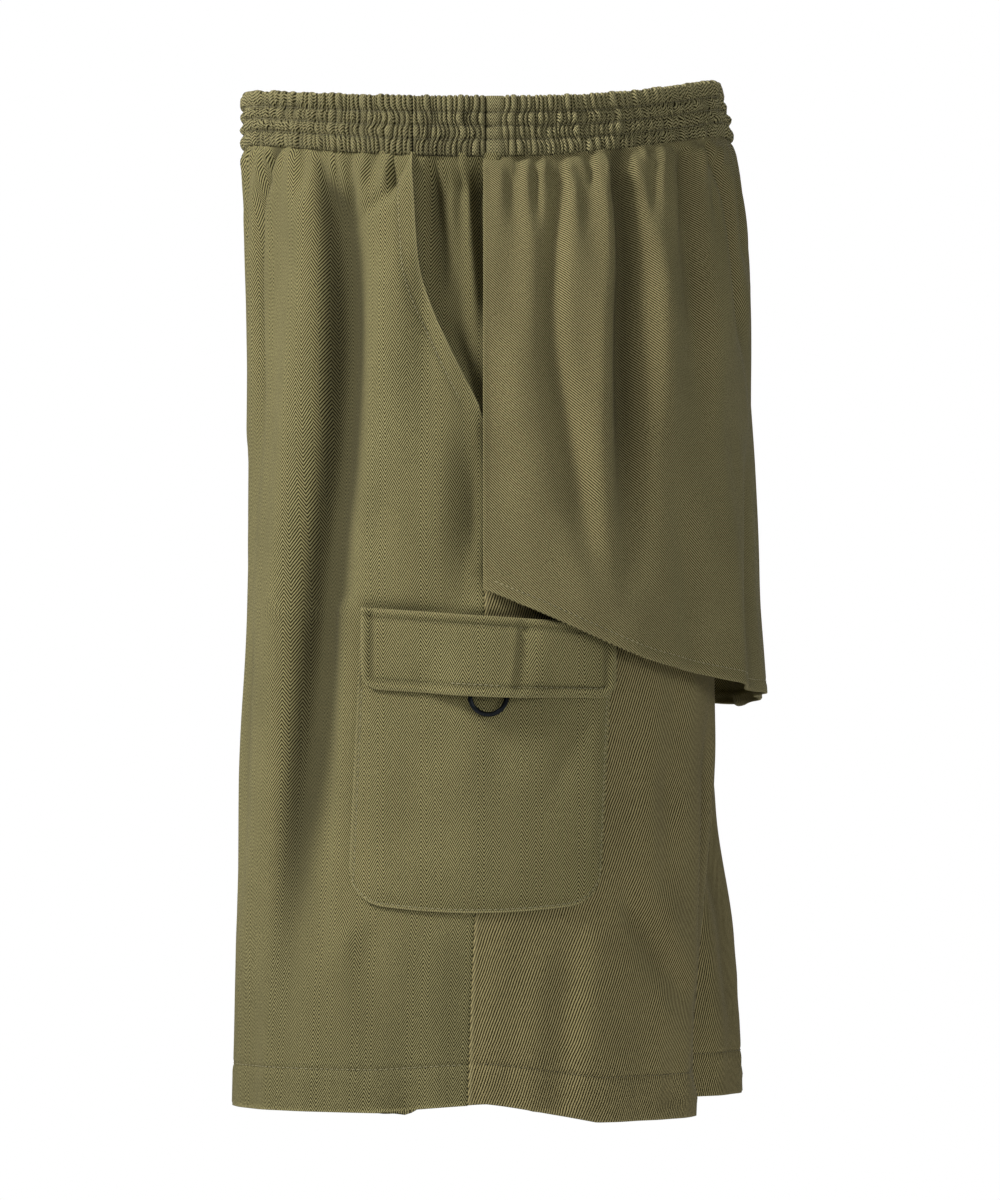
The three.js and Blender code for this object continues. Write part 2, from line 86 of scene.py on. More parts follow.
def colour(hexText):
    parts = [int(hexText[i:i + 2], 16) / 255 for i in (1, 3, 5)]
    return [c / 12.92 if c <= 0.04045 else ((c + 0.055) / 1.055) ** 2.4 for c in parts] + [1.0]


def addLight(name, look, target=(0, 0, -0.27)):
    lamp = bpy.data.objects.new(name, bpy.data.lights.new(name, "AREA"))
    lamp.data.shape = "DISK"
    lamp.data.size = look["size"]
    lamp.data.energy = look["power"]
    lamp.data.color = look["tint"]
    lamp.location = look["at"]
    lamp.rotation_euler = (Vector(target) - Vector(look["at"])).to_track_quat("-Z", "Y").to_euler()
    scene.collection.objects.link(lamp)


for lampName in ("key", "fill", "front", "back"):
    addLight(lampName, studio[lampName])

world = bpy.data.worlds.new("studio")
scene.world = world
world.use_nodes = True
world.node_tree.nodes.clear()
seen = addNode(world.node_tree, "ShaderNodeBackground", {"Color": (1, 1, 1, 1), "Strength": 1.0})
lit = addNode(world.node_tree, "ShaderNodeBackground", {"Color": (1, 1, 1, 1), "Strength": studio["ambient"]})
rays = addNode(world.node_tree, "ShaderNodeLightPath")
either = addNode(world.node_tree, "ShaderNodeMixShader", {0: rays.outputs["Is Camera Ray"], 1: lit, 2: seen})
addNode(world.node_tree, "ShaderNodeOutputWorld", {"Surface": either})

floorMesh = bmesh.new()
bmesh.ops.create_circle(floorMesh, cap_ends=True, segments=96, radius=studio["floorRadius"])
bmesh.ops.translate(floorMesh, verts=floorMesh.verts, vec=(0, 0, studio["floorZ"]))
floorData = bpy.data.meshes.new("floor")
floorMesh.to_mesh(floorData)
floorMesh.free()
floor = bpy.data.objects.new("floor", floorData)
scene.collection.objects.link(floor)
paper = bpy.data.materials.new("pale paper")  # matt studio paper, white with a trace of tooth
paper.use_nodes = True
paper.node_tree.nodes.clear()
place = addNode(paper.node_tree, "ShaderNodeTexCoord").outputs["Object"]
tooth = addNode(paper.node_tree, "ShaderNodeTexNoise", {"Vector": place, "Scale": 300})
bump = addNode(paper.node_tree, "ShaderNodeBump", {"Strength": 0.05, "Distance": 0.001, "Height": tooth})
matt = addNode(paper.node_tree, "ShaderNodeBsdfPrincipled",
               {"Base Color": colour("#f4f4f2"), "Roughness": 0.9, "Normal": bump})
addNode(paper.node_tree, "ShaderNodeOutputMaterial", {"Surface": matt})
floorData.materials.append(paper)
print("studio ready")


# Materials

def newMaterial(name):
    material = bpy.data.materials.new(name)
    material.use_nodes = True
    material.node_tree.nodes.clear()
    return material, material.node_tree


# Herringbone: twill lines that rise to one side in a wide column and to the other in a narrow one.
# wide and narrow are the columns' widths and pitch the lines' spacing up the cloth, in mm. On the fronts
# the real lines are 1.1 to 1.6 mm apart, too fine to show, so they are drawn 1.3 to 2 times as coarse.
def twillCloth(name, look):
    material, tree = newMaterial(name)
    cloth = addNode(tree, "ShaderNodeUVMap", uv_map="cloth")
    axes = addNode(tree, "ShaderNodeSeparateXYZ", {"Vector": cloth})
    waver = addNode(tree, "ShaderNodeTexNoise", {"Vector": cloth, "Scale": 0.045, "Detail": 1.5})
    across = addNode(tree, "ShaderNodeMath", {0: waver, 1: look["waver"], 2: axes.outputs[0]},
                     operation="MULTIPLY_ADD")
    place = addNode(tree, "ShaderNodeMath", {0: across, 1: look["wide"] + look["narrow"]},
                    operation="FLOORED_MODULO")
    turned = addNode(tree, "ShaderNodeMath", {0: place, 1: look["wide"]}, operation="GREATER_THAN")
    slant = addNode(tree, "ShaderNodeMath", {0: turned, 1: 2 * look["slope"], 2: -look["slope"]},
                    operation="MULTIPLY_ADD")
    rise = addNode(tree, "ShaderNodeMath", {0: across, 1: slant, 2: axes.outputs[1]},
                   operation="MULTIPLY_ADD")
    turns = addNode(tree, "ShaderNodeMath", {0: rise, 1: 2 * math.pi / look["pitch"]}, operation="MULTIPLY")
    lines = addNode(tree, "ShaderNodeMath", {0: turns}, operation="SINE")

    # yarn streaks along the warp, and slubs
    drawn = addNode(tree, "ShaderNodeMapping", {"Vector": cloth, "Scale": (1.3, 0.3, 1)})
    warp = addNode(tree, "ShaderNodeTexNoise", {"Vector": drawn, "Scale": 1.0, "Detail": 2})
    slub = addNode(tree, "ShaderNodeTexNoise", {"Vector": cloth, "Scale": 1.2, "Detail": 2})
    streak = addNode(tree, "ShaderNodeMapRange", {"Value": warp, "To Min": -look["streak"],
                                                  "To Max": look["streak"]})
    speck = addNode(tree, "ShaderNodeMath", {0: slub, 1: 2 * look["slub"], 2: -look["slub"]},
                    operation="MULTIPLY_ADD")
    yarn = addNode(tree, "ShaderNodeMath", {0: streak, 1: speck}, operation="ADD")

    # the lines fade in soft patches where the nap lies over them
    patch = addNode(tree, "ShaderNodeTexNoise", {"Vector": cloth, "Scale": 0.035, "Detail": 1})
    shown = addNode(tree, "ShaderNodeMapRange", {"Value": patch, "From Min": 0.32, "From Max": 0.62,
                                                 "To Min": look["faint"], "To Max": 1.0})
    raised = addNode(tree, "ShaderNodeMath", {0: lines, 1: shown, 2: yarn}, operation="MULTIPLY_ADD")
    weave = addNode(tree, "ShaderNodeMath", {0: raised, 1: 1.25, 2: 0.5}, operation="MULTIPLY_ADD",
                    use_clamp=True)
    threads = addNode(tree, "ShaderNodeMix", {0: weave, 6: colour(look["dark"]), 7: colour(look["light"])},
                      data_type="RGBA")

    # dye lies unevenly, painted shade darkens the cloth in folds, grooves and beside raised edges, and edges
    # and seams are rubbed paler
    dye = addNode(tree, "ShaderNodeTexNoise", {"Vector": cloth, "Scale": 0.021, "Detail": 3})
    depth = addNode(tree, "ShaderNodeMapRange", {"Value": dye, "From Min": 0.25, "From Max": 0.75,
                                                 "To Min": 0.92, "To Max": 1.08})
    wearAndShade = addNode(tree, "ShaderNodeAttribute", attribute_name="wearAndShade").outputs["Fac"]
    # painted shade: where the attribute is below 0 the colour is darkened, down to the look's factor at -1
    folded = addNode(tree, "ShaderNodeMapRange", {"Value": wearAndShade, "From Min": -1.0, "From Max": 0.0,
                                                  "To Min": look["folded"], "To Max": 1.0})
    dyeAndShade = addNode(tree, "ShaderNodeMath", {0: depth, 1: folded}, operation="MULTIPLY")
    dyed = addNode(tree, "ShaderNodeVectorMath", {0: threads.outputs[2], 1: dyeAndShade}, operation="MULTIPLY")
    rub = addNode(tree, "ShaderNodeMath", {0: wearAndShade, 1: look["rub"]}, operation="MULTIPLY", use_clamp=True)
    rubbed = addNode(tree, "ShaderNodeMix", {0: rub, 6: dyed, 7: colour(look["pale"])}, data_type="RGBA")

    bump = addNode(tree, "ShaderNodeBump", {"Strength": look["bump"], "Distance": 0.0002, "Height": weave})
    rough = addNode(tree, "ShaderNodeMapRange", {"Value": weave, "To Min": 0.94, "To Max": 0.8})
    shader = addNode(tree, "ShaderNodeBsdfPrincipled",
                     {"Base Color": rubbed.outputs[2], "Roughness": rough, "Normal": bump, "IOR": 1.45,
                      "Specular IOR Level": 0.14, "Sheen Weight": 0.03, "Sheen Roughness": 0.5})
    addNode(tree, "ShaderNodeOutputMaterial", {"Surface": shader})
    return material


# cotton herringbone twill, piece-dyed olive: matt, with fine slanting lines and a short nap
frontCloth = twillCloth("olive herringbone twill", {
    "wide": 4.6, "narrow": 3.0, "pitch": 2.15, "slope": 1.8, "waver": 1.6, "slub": 0.5, "streak": 0.3,
    "faint": 0.6, "dark": "#282410", "light": "#aaa272", "pale": "#a89f74", "rub": 0.4, "bump": 0.35,
    "folded": 0.4})

# the back of the legs shows the steep warp lines of the twill, all one way, in a browner dye
legCloth = twillCloth("olive steep twill", {
    "wide": 400.0, "narrow": 0.0, "pitch": 4.2, "slope": 2.9, "waver": 2.4, "slub": 0.55, "streak": 0.5,
    "faint": 0.85, "dark": "#2c260f", "light": "#ab9f71", "pale": "#a0976e", "rub": 0.4, "bump": 0.35,
    "folded": 0.5})

# the seat panel is a lighter, smoother twill whose fine lines all run one way
seatCloth = twillCloth("olive fine twill", {
    "wide": 0.0, "narrow": 700.0, "pitch": 1.65, "slope": 1.1, "waver": 1.6, "slub": 0.7, "streak": 0.25,
    "faint": 0.6, "dark": "#353016", "light": "#a89f72", "pale": "#a49b70", "rub": 0.4, "bump": 0.3,
    "folded": 0.5})

# the waistband is the same cloth, shirred, so its lines are crowded together
bandCloth = twillCloth("olive herringbone twill, shirred", {
    "wide": 2.8, "narrow": 1.9, "pitch": 1.9, "slope": 1.2, "waver": 1.0, "slub": 1.2, "streak": 0.3,
    "faint": 1.0, "dark": "#26220d", "light": "#b7af80", "pale": "#a8a076", "rub": 0.4, "bump": 0.6,
    "folded": 0.22})


# two-ply polyester sewing thread, a shade lighter than the cloth, with a slight gloss
def threadMaterial(name, look):
    material, tree = newMaterial(name)
    place = addNode(tree, "ShaderNodeTexCoord").outputs["Object"]
    ply = addNode(tree, "ShaderNodeTexNoise", {"Vector": place, "Scale": 900})
    tone = addNode(tree, "ShaderNodeMix", {0: ply, 6: colour(look["dark"]), 7: colour(look["light"])},
                   data_type="RGBA")
    bump = addNode(tree, "ShaderNodeBump", {"Strength": 0.4, "Distance": 0.0001, "Height": ply})
    shader = addNode(tree, "ShaderNodeBsdfPrincipled", {"Base Color": tone.outputs[2], "Roughness": 0.62,
                                                        "Sheen Weight": 0.1, "Normal": bump})
    addNode(tree, "ShaderNodeOutputMaterial", {"Surface": shader})
    return material


paleThread = threadMaterial("olive sewing thread", {"dark": "#857e5a", "light": "#b8b189"})
deepThread = threadMaterial("dark olive sewing thread", {"dark": "#5e5739", "light": "#857d58"})

# steel wire bent into a D and plated black: a dark mirror that has lost its polish in handling
gunmetal, tree = newMaterial("black-plated steel wire")
place = addNode(tree, "ShaderNodeTexCoord").outputs["Object"]
smudge = addNode(tree, "ShaderNodeTexNoise", {"Vector": place, "Scale": 260, "Detail": 3})
rough = addNode(tree, "ShaderNodeMapRange", {"Value": smudge, "To Min": 0.22, "To Max": 0.42})
tone = addNode(tree, "ShaderNodeMix", {0: smudge, 6: colour("#16181b"), 7: colour("#2f3338")},
               data_type="RGBA")
bump = addNode(tree, "ShaderNodeBump", {"Strength": 0.12, "Distance": 0.0001, "Height": smudge})
shader = addNode(tree, "ShaderNodeBsdfPrincipled", {"Base Color": tone.outputs[2], "Metallic": 1.0,
                                                    "Roughness": rough, "Normal": bump})
addNode(tree, "ShaderNodeOutputMaterial", {"Surface": shader})

# cotton tape, woven in ribs 1.6 mm apart across its width
tapeCloth, tree = newMaterial("olive cotton tape")
cloth = addNode(tree, "ShaderNodeUVMap", uv_map="cloth")
rib = addNode(tree, "ShaderNodeTexWave", {"Vector": cloth, "Scale": 0.62 / 3.14, "Distortion": 1.2},
              bands_direction="Y")
tone = addNode(tree, "ShaderNodeMix", {0: rib.outputs["Fac"], 6: colour("#3f3a25"), 7: colour("#6a6446")},
               data_type="RGBA")
bump = addNode(tree, "ShaderNodeBump", {"Strength": 0.6, "Distance": 0.0003, "Height": rib.outputs["Fac"]})
shader = addNode(tree, "ShaderNodeBsdfPrincipled", {"Base Color": tone.outputs[2], "Roughness": 0.85,
                                                    "Specular IOR Level": 0.25, "Normal": bump})
addNode(tree, "ShaderNodeOutputMaterial", {"Surface": shader})
print("materials ready")


# Form of the body, the legs and the seat panel

# height, inseam x, then x and y of the front, side and back points of the left half
bodySections = np.array([
    (-545, 24, 106, -138, 188, -10, 106, 114),
    (-470, 20, 106, -137, 186, -7.5, 106, 118),
    (-400, 15, 104, -135, 186, -4.5, 104, 121),
    (-330, 8, 102, -133.5, 187, -2, 102, 124),
    (-268, 0.02, 96, -131.6, 189, -0.5, 98, 125),
    (-190, 0.02, 80, -130.6, 187, 0, 84, 127),
    (-120, 0.02, 64, -131, 181, 0, 68, 131),
    (-60, 0.02, 52, -131.8, 171, 0, 54, 137),
    (-2, 0.02, 44, -132.6, 159, 0, 44, 134.6),
    (30, 0.02, 42, -132.2, 157, 0, 42, 127.8)])

# height, how far the side stands off the body, then x and y of the back point
seatSections = np.array([
    (-330, 10.5, 76, 155.4),
    (-290, 9.5, 76, 152),
    (-265, 7, 75, 149.8),
    (-240, 3.6, 74, 148.4),
    (-190, 2.6, 72, 146.8),
    (-145, 2.6, 68, 145.4),
    (-90, 2.6, 62, 145),
    (-55, 2.6, 54, 143.4),
    (-20, 2.6, 48, 138.7),
    (0, 2.6, 46, 134.6)])

# share of the way round from the left edge, height of the seat panel's lower edge
seatHem = np.array([(0, -250), (0.03, -263), (0.06, -276), (0.09, -287), (0.13, -295), (0.18, -302),
                    (0.24, -306.5), (0.36, -308), (0.5, -308.5), (0.62, -310.5), (0.74, -313),
                    (0.84, -316), (0.89, -308), (0.93, -289), (0.965, -270), (1, -254)])

# height, y of the slant pocket's mouth
pocketMouth = np.array([(-160, -0.8), (-150, -4), (-136, -11), (-116, -20.8), (-98, -29), (-80, -34.6),
                        (-60, -36.6), (-36, -38), (-10, -39.9)])

fit = {"bodyFullness": 0.58, "seatFullness": 0.62, "crown": 2.8, "crotchZ": -268, "crotchTopZ": -160,
       "legHemZ": -527, "hemHeight": 22, "waistSeamZ": -16.2, "bandTopZ": 16.7, "spreadTopZ": -314,
       "spreadSlope": 0.138, "bandSeamY": -39.9}


def mix(a, b, share):
    return a + (b - a) * share


def smooth(x, low=0.0, high=1.0):
    share = np.clip((x - low) / (high - low), 0, 1)
    return share * share * (3 - 2 * share)


def hump(x):
    return np.exp(-x * x)


# A smooth curve through a column of values
def curveThrough(keys, values, at):
    keys = np.asarray(keys, float)
    values = np.asarray(values, float)
    slopes = np.empty_like(values)
    slopes[1:-1] = (values[2:] - values[:-2]) / (keys[2:] - keys[:-2])
    slopes[0] = (values[1] - values[0]) / (keys[1] - keys[0])
    slopes[-1] = (values[-1] - values[-2]) / (keys[-1] - keys[-2])
    i = np.clip(np.searchsorted(keys, at, side="right") - 1, 0, len(keys) - 2)
    span = keys[i + 1] - keys[i]
    t = np.clip((at - keys[i]) / span, 0, 1)
    return ((2 * t ** 3 - 3 * t ** 2 + 1) * values[i] + (t ** 3 - 2 * t ** 2 + t) * span * slopes[i]
            + (3 * t ** 2 - 2 * t ** 3) * values[i + 1] + (t ** 3 - t ** 2) * span * slopes[i + 1])


def bezier(a, b, c, d, t):
    s = 1 - t
    return s ** 3 * a + 3 * s * s * t * b + 3 * s * t * t * c + t ** 3 * d


# Left half of the body: u is 0 at the centre front or inseam, 1 front, 2 side seam, 3 back, 4 inseam
def bodyForm(u, z):
    u, z = np.broadcast_arrays(np.asarray(u, float), np.asarray(z, float))
    inX, frontX, frontY, sideX, sideY, backX, backY = (
        curveThrough(bodySections[:, 0], bodySections[:, k], z) for k in range(1, 8))
    inX = np.where(z < fit["crotchZ"], inX, 0.02)
    turn = np.clip((fit["crotchTopZ"] - z) / (fit["crotchTopZ"] - fit["crotchZ"]), 0, 1)
    reach = np.sqrt(1 - turn ** 2)
    angle = math.pi / 2 * turn ** 2
    ahead = u < 2
    outY = np.where(ahead, frontY, backY)
    inY = mix(sideY + np.where(ahead, -0.02, 0.02), outY + np.where(ahead, -1, 1) * fit["crown"] * (1 - turn),
              reach)
    midX = np.where(ahead, frontX, backX)
    w = np.where(ahead, u, 4 - u)
    k = fit["bodyFullness"]
    inner = w < 1
    t = np.where(inner, w, w - 1)
    x = np.where(inner,
                 bezier(inX, inX + k * (midX - inX) * np.cos(angle), midX - k * (midX - inX), midX, t),
                 bezier(midX, midX + k * (sideX - midX), sideX, sideX, t))
    y = np.where(inner,
                 bezier(inY, inY + k * (outY - inY) * np.sin(angle), outY, outY, t),
                 bezier(outY, outY, sideY + k * (outY - sideY), sideY, t))
    return np.stack([x, y, z], axis=-1)


# Left half of the seat panel: u runs from 2 at the side seam to 4 at the centre back
def seatForm(u, z):
    u, z = np.broadcast_arrays(np.asarray(u, float), np.asarray(z, float))
    standOff, backX, backY = (curveThrough(seatSections[:, 0], seatSections[:, k], z) for k in range(1, 4))
    sideX = curveThrough(bodySections[:, 0], bodySections[:, 4], z) + standOff
    sideY = -1.2
    k = fit["seatFullness"]
    outer = u < 3
    t = np.where(outer, u - 2, u - 3)
    x = np.where(outer, bezier(sideX, sideX, backX + k * (sideX - backX), backX, t),
                 bezier(backX, backX * 0.6, backX * 0.3, backX * 0, t))
    y = np.where(outer, bezier(sideY, sideY + k * (backY - sideY), backY, backY, t),
                 bezier(backY, backY, backY + fit["crown"], backY + fit["crown"], t))
    return np.stack([x, y, z], axis=-1)


def normalOf(form, u, z, low, high):
    along = form(np.minimum(u + 0.004, high), z) - form(np.maximum(u - 0.004, low), z)
    up = form(u, z + 0.5) - form(u, z - 0.5)
    normal = np.cross(along, up)
    return normal / np.linalg.norm(normal, axis=-1, keepdims=True)


# Distance round a form from the side seam, by u and height
def arcTable(form, lowU):
    crotchRows = fit["crotchTopZ"] - 108 * np.sqrt(1 - np.linspace(0, 1, 55) ** 2)
    heights = np.unique(np.concatenate([np.linspace(-548, -268, 71), crotchRows, np.linspace(-160, 32, 49)]))
    turns = np.linspace(lowU, 4, 401 if lowU == 0 else 201)
    places = form(turns[None, :], heights[:, None])
    steps = np.hypot(np.diff(places[..., 0]), np.diff(places[..., 1]))
    arcs = np.concatenate([np.zeros((len(heights), 1)), np.cumsum(steps, axis=1)], axis=1)
    seam = int(np.argmin(abs(turns - 2)))
    return heights, turns, arcs - arcs[:, seam:seam + 1]


def arcAt(table, u, z):
    heights, turns, arcs = table
    u, z = np.broadcast_arrays(np.asarray(u, float), np.asarray(z, float))
    i = np.clip(np.searchsorted(heights, z) - 1, 0, len(heights) - 2)
    up = np.clip((z - heights[i]) / (heights[i + 1] - heights[i]), 0, 1)
    place = (u - turns[0]) / (turns[1] - turns[0])
    j = np.clip(place.astype(int), 0, len(turns) - 2)
    on = np.clip(place - j, 0, 1)
    return mix(mix(arcs[i, j], arcs[i, j + 1], on), mix(arcs[i + 1, j], arcs[i + 1, j + 1], on), up)


# u between low and high where isShort turns from true to false, by halving the span each round
def halvedTo(isShort, shape, low, high, rounds):
    lowU = np.full(shape, float(low))
    highU = np.full(shape, float(high))
    for _ in range(rounds):
        middle = (lowU + highU) / 2
        short = isShort(middle)
        lowU = np.where(short, middle, lowU)
        highU = np.where(short, highU, middle)
    return (lowU + highU) / 2


def uAtArc(table, a, z, low, high):
    a, z = np.broadcast_arrays(np.asarray(a, float), np.asarray(z, float))
    return halvedTo(lambda u: arcAt(table, u, z) < a, a.shape, low, high, 22)


# u on the side of the body where it has a given y
def uAtY(y, z, low=1, high=3):
    y, z = np.broadcast_arrays(np.asarray(y, float), np.asarray(z, float))
    return halvedTo(lambda u: bodyForm(u, z)[..., 1] < y, y.shape, low, high, 24)


def waistSeam(y):
    return fit["waistSeamZ"] + np.where(y < 0, 11.7, 16) * np.minimum(1, abs(y) / 136) ** 2.2


def bandTop(y):
    return fit["bandTopZ"] + np.where(y < 0, 8.2, 14) * np.minimum(1, abs(y) / 133) ** 2.5


def legHem(y):
    return fit["legHemZ"] - np.where(y < 0, 4.8, 10.6) * np.minimum(1, abs(y) / 60) ** 1.2


# The right side mirrors the left, and its leg stands back
def toSide(points, side):
    if side > 0:
        return points
    moved = points.copy()
    moved[..., 0] *= -1
    moved[..., 1] += np.maximum(0, fit["spreadTopZ"] - points[..., 2]) * fit["spreadSlope"]
    moved[..., 1] += 6 * smooth(-points[..., 2], 375, 450) * (1 - 0.6 * smooth(-points[..., 2], 490, 540))
    return moved


bodyArcs = arcTable(bodyForm, 0)
seatArcs = arcTable(seatForm, 2)
bandSeamU = float(uAtY(fit["bandSeamY"], 0, 1, 2))
print("form ready")


# Creases and gathers

# Each crease is a path of (a, z) down the cloth, its half width at the top and the foot, its depth
# (a ridge if negative), its lean (above 0 it is steeper on the front side), and the shares of its
# length over which it fades in and out.
def creaseRelief(creases, a, z):
    relief = np.zeros_like(a)
    for path, topWide, footWide, depth, lean, fadeIn, fadeOut in creases:
        steps = np.array(sorted(path, key=lambda p: p[1]), float)
        foot, top = steps[0, 1], steps[-1, 1]
        near = np.flatnonzero((z > foot) & (z < top))
        if not len(near):
            continue
        height = z[near]
        middle = curveThrough(steps[:, 1], steps[:, 0], height)
        slope = curveThrough(steps[:, 1], steps[:, 0], height + 0.5) - middle
        down = (top - height) / (top - foot)
        across = (a[near] - middle) / np.sqrt(1 + 4 * slope ** 2) / mix(topWide, footWide, down)
        across = across / np.where(across > 0, 1 + lean, 1 - lean)
        shape = hump(across) - 0.22 * (hump((across - 2.1) * 0.9) + hump((across + 2.1) * 0.9))
        fade = smooth(down, 0, max(fadeIn, 1e-6)) if fadeIn else 1.0
        if fadeOut:
            fade = fade * smooth(1 - down, 0, fadeOut)
        relief[near] -= depth * fade * shape
    return relief


# How much painted shade a place gets for lying low in a fold
def paintedFoldShade(relief, low=1.5, high=15):
    return smooth(-relief, low, high)


# The same creases for the other side, none of them quite the same
def varied(creases, seed):
    dice = random.Random(seed)
    changed = []
    for path, topWide, footWide, depth, lean, fadeIn, fadeOut in creases:
        shift = dice.uniform(-6, 6)
        bow = dice.uniform(-5, 5)
        size = dice.uniform(0.8, 1.2)
        count = max(1, len(path) - 1)
        moved = [(a + shift + bow * math.sin(math.pi * i / count), z) for i, (a, z) in enumerate(path)]
        changed.append((moved, topWide * size, footWide * size, depth * dice.uniform(0.75, 1.15), lean,
                        fadeIn, fadeOut))
    return changed


# A piece's creases as written on the left, and changed by the seed on the right
def creasesOf(look, side, seed):
    return look["creases"] if side > 0 else varied(look["creases"], seed)


# Mesh step of a leg panel, a little coarser on the right
def stepOf(look, side):
    return look["step"] if side > 0 else look["step"] * 1.08


# Where the gathers of a band meet, from one end of it to the other
def gatherEdges(seed, low, high, widthAt):
    dice = random.Random(seed)
    edges = [low]
    while edges[-1] < high:
        narrow, wide = widthAt(edges[-1])
        edges.append(edges[-1] + mix(narrow, wide, dice.random() ** 1.6))
    edges[-1] = high
    if edges[-1] - edges[-2] < 2.0:
        edges.pop(-2)
    return np.array(edges)


# Each gather of the band runs on below it as a small trough of its own length
def gathersBelow(edges, seed, topAt, look):
    dice = random.Random(seed)
    creases = []
    for edge in edges[1:-1]:
        length = mix(look["short"], look["long"], dice.random() ** 2.4)
        drift = dice.uniform(-0.1, 0.1) * length
        top = float(topAt(edge)) + 2
        wide = mix(1.5, 4.6, length / look["long"])
        path = [(edge, top), (edge + drift * 0.4, top - length * 0.5), (edge + drift, top - length)]
        creases.append((path, 1.3, wide, look["depth"] * dice.uniform(0.6, 1.1), dice.uniform(-0.2, 0.2),
                        0, 0.85))
    return creases


# The seam under the band holds the cloth, so a fold or a swell grows only as it leaves the seam
def heldAbove(relief, down):
    limit = 0.9 + 0.9 * np.maximum(down, 0)
    return limit * np.tanh(relief / limit)


# Slow rise and fall of cloth that hangs free
def drape(a, z, seed, amount):
    dice = random.Random(seed)
    relief = 0
    for wave, fall in ((84, 260), (57, 190), (38, 150), (25, 95)):
        shift = dice.uniform(0, 6.28)
        lean = dice.uniform(-1, 1)
        relief = relief + math.sqrt(wave / 84) * np.sin(2 * math.pi * (a / wave + lean * z / fall) + shift)
    return relief * amount / 2


# Puckers along a line of stitches
def pucker(along, seed):
    dice = random.Random(seed)
    return sum(np.sin(2 * math.pi * along / wave + dice.uniform(0, 6.28)) for wave in (4.7, 7.3, 11.9)) / 3


# Meshes

# Positions along an edge, closer together at its ends
def spaced(length, step, fineStart=True, fineEnd=True):
    fine = [0, 0.5, 1.1, 1.9, 3.0]
    start = fine if fineStart else [0]
    end = [length - d for d in reversed(fine)] if fineEnd else [length]
    count = max(2, round((end[0] - start[-1]) / step))
    middle = np.linspace(start[-1], end[0], count + 1)[1:-1]
    return np.concatenate([start, middle, end]) / length


# A sheet of cloth: a grid whose columns and rows are sent to their places, then given its thickness
def clothPiece(name, columns, rows, placeAt, look, material, reverse=False):
    sheet = bmesh.new()
    bmesh.ops.create_grid(sheet, x_segments=len(columns) - 1, y_segments=len(rows) - 1, size=0.5)
    if reverse:
        bmesh.ops.reverse_faces(sheet, faces=sheet.faces)
    mesh = bpy.data.meshes.new(name)
    sheet.to_mesh(mesh)
    sheet.free()
    corners = np.empty(len(mesh.vertices) * 3)
    mesh.vertices.foreach_get("co", corners)
    i = np.rint((corners[0::3] + 0.5) * (len(columns) - 1)).astype(int)
    j = np.rint((0.5 - corners[1::3]) * (len(rows) - 1)).astype(int)
    points, cloth, wearAndShade, thick = placeAt(np.asarray(columns)[i], np.asarray(rows)[j])
    mesh.vertices.foreach_set("co", (points / 1000).ravel())
    mesh.update()
    owner = np.empty(len(mesh.loops), int)
    mesh.loops.foreach_get("vertex_index", owner)
    mesh.uv_layers.new(name="cloth").data.foreach_set("uv", cloth[owner].ravel())
    # the attribute is rubbed wear where it is above 0 and painted shade where it is below 0
    wearAndShadeAttribute = mesh.attributes.new("wearAndShade", "FLOAT", "POINT")
    wearAndShadeAttribute.data.foreach_set("value", np.broadcast_to(wearAndShade, len(points)))
    mesh.shade_smooth()
    mesh.materials.append(material)
    piece = bpy.data.objects.new(name + "_cloth", mesh)
    scene.collection.objects.link(piece)
    wall = piece.modifiers.new("wall", "SOLIDIFY")
    wall.thickness = look["wall"] / 1000
    wall.offset = -1
    if thick is not None:
        wall.thickness = look["hemWall"] / 1000
        group = piece.vertex_groups.new(name="hem")
        group.add([int(n) for n in np.flatnonzero(thick)], 1.0, "REPLACE")
        wall.vertex_group = "hem"
        wall.thickness_vertex_group = look["wall"] / look["hemWall"]
    return piece


# What a piece moves with, and the solid it stands for, which is hidden
def declared(piece, name, body="shorts"):
    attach(piece, body)
    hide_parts(name)
    return piece


# Stitches: short raised beads in a row on the cloth
stitchLook = {"length": 2.3, "gap": 0.8, "width": 0.52, "height": 0.42}


def sewAlong(points, normals, look=stitchLook, start=0.6):
    steps = np.linalg.norm(np.diff(points, axis=0), axis=1)
    far = np.concatenate([[0], np.cumsum(steps)])
    pitch = look["length"] + look["gap"]
    count = int((far[-1] - start) / pitch)
    beads = []
    for n in range(count):
        ends = [start + n * pitch, start + n * pitch + look["length"]]
        first, last = (np.array([np.interp(d, far, points[:, k]) for k in range(3)]) for d in ends)
        normal = np.array([np.interp(sum(ends) / 2, far, normals[:, k]) for k in range(3)])
        beads.append((first, last, normal / np.linalg.norm(normal)))
    return beads


def stitchPiece(name, beads, material, look=stitchLook):
    sewn = bmesh.new()
    for first, last, normal in beads:
        along = Vector(last - first)
        up = Vector(normal)
        side = along.normalized().cross(up).normalized()
        turn = Matrix((along.normalized(), side, side.cross(along.normalized()))).transposed().to_4x4()
        size = Matrix.Diagonal((along.length / 2000 * 1.04, look["width"] / 2000, look["height"] / 2000, 1))
        place = Matrix.Translation(Vector((first + last) / 2000))
        bmesh.ops.create_icosphere(sewn, subdivisions=1, radius=1, matrix=place @ turn @ size)
    mesh = bpy.data.meshes.new(name)
    sewn.to_mesh(mesh)
    sewn.free()
    mesh.shade_smooth()
    mesh.materials.append(material)
    piece = bpy.data.objects.new(name, mesh)
    scene.collection.objects.link(piece)
    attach(piece, "shorts")
    return piece


def sideName(side):
    return "left" if side > 0 else "right"


# Waistband: rows of shirring over elastic, in four lengths

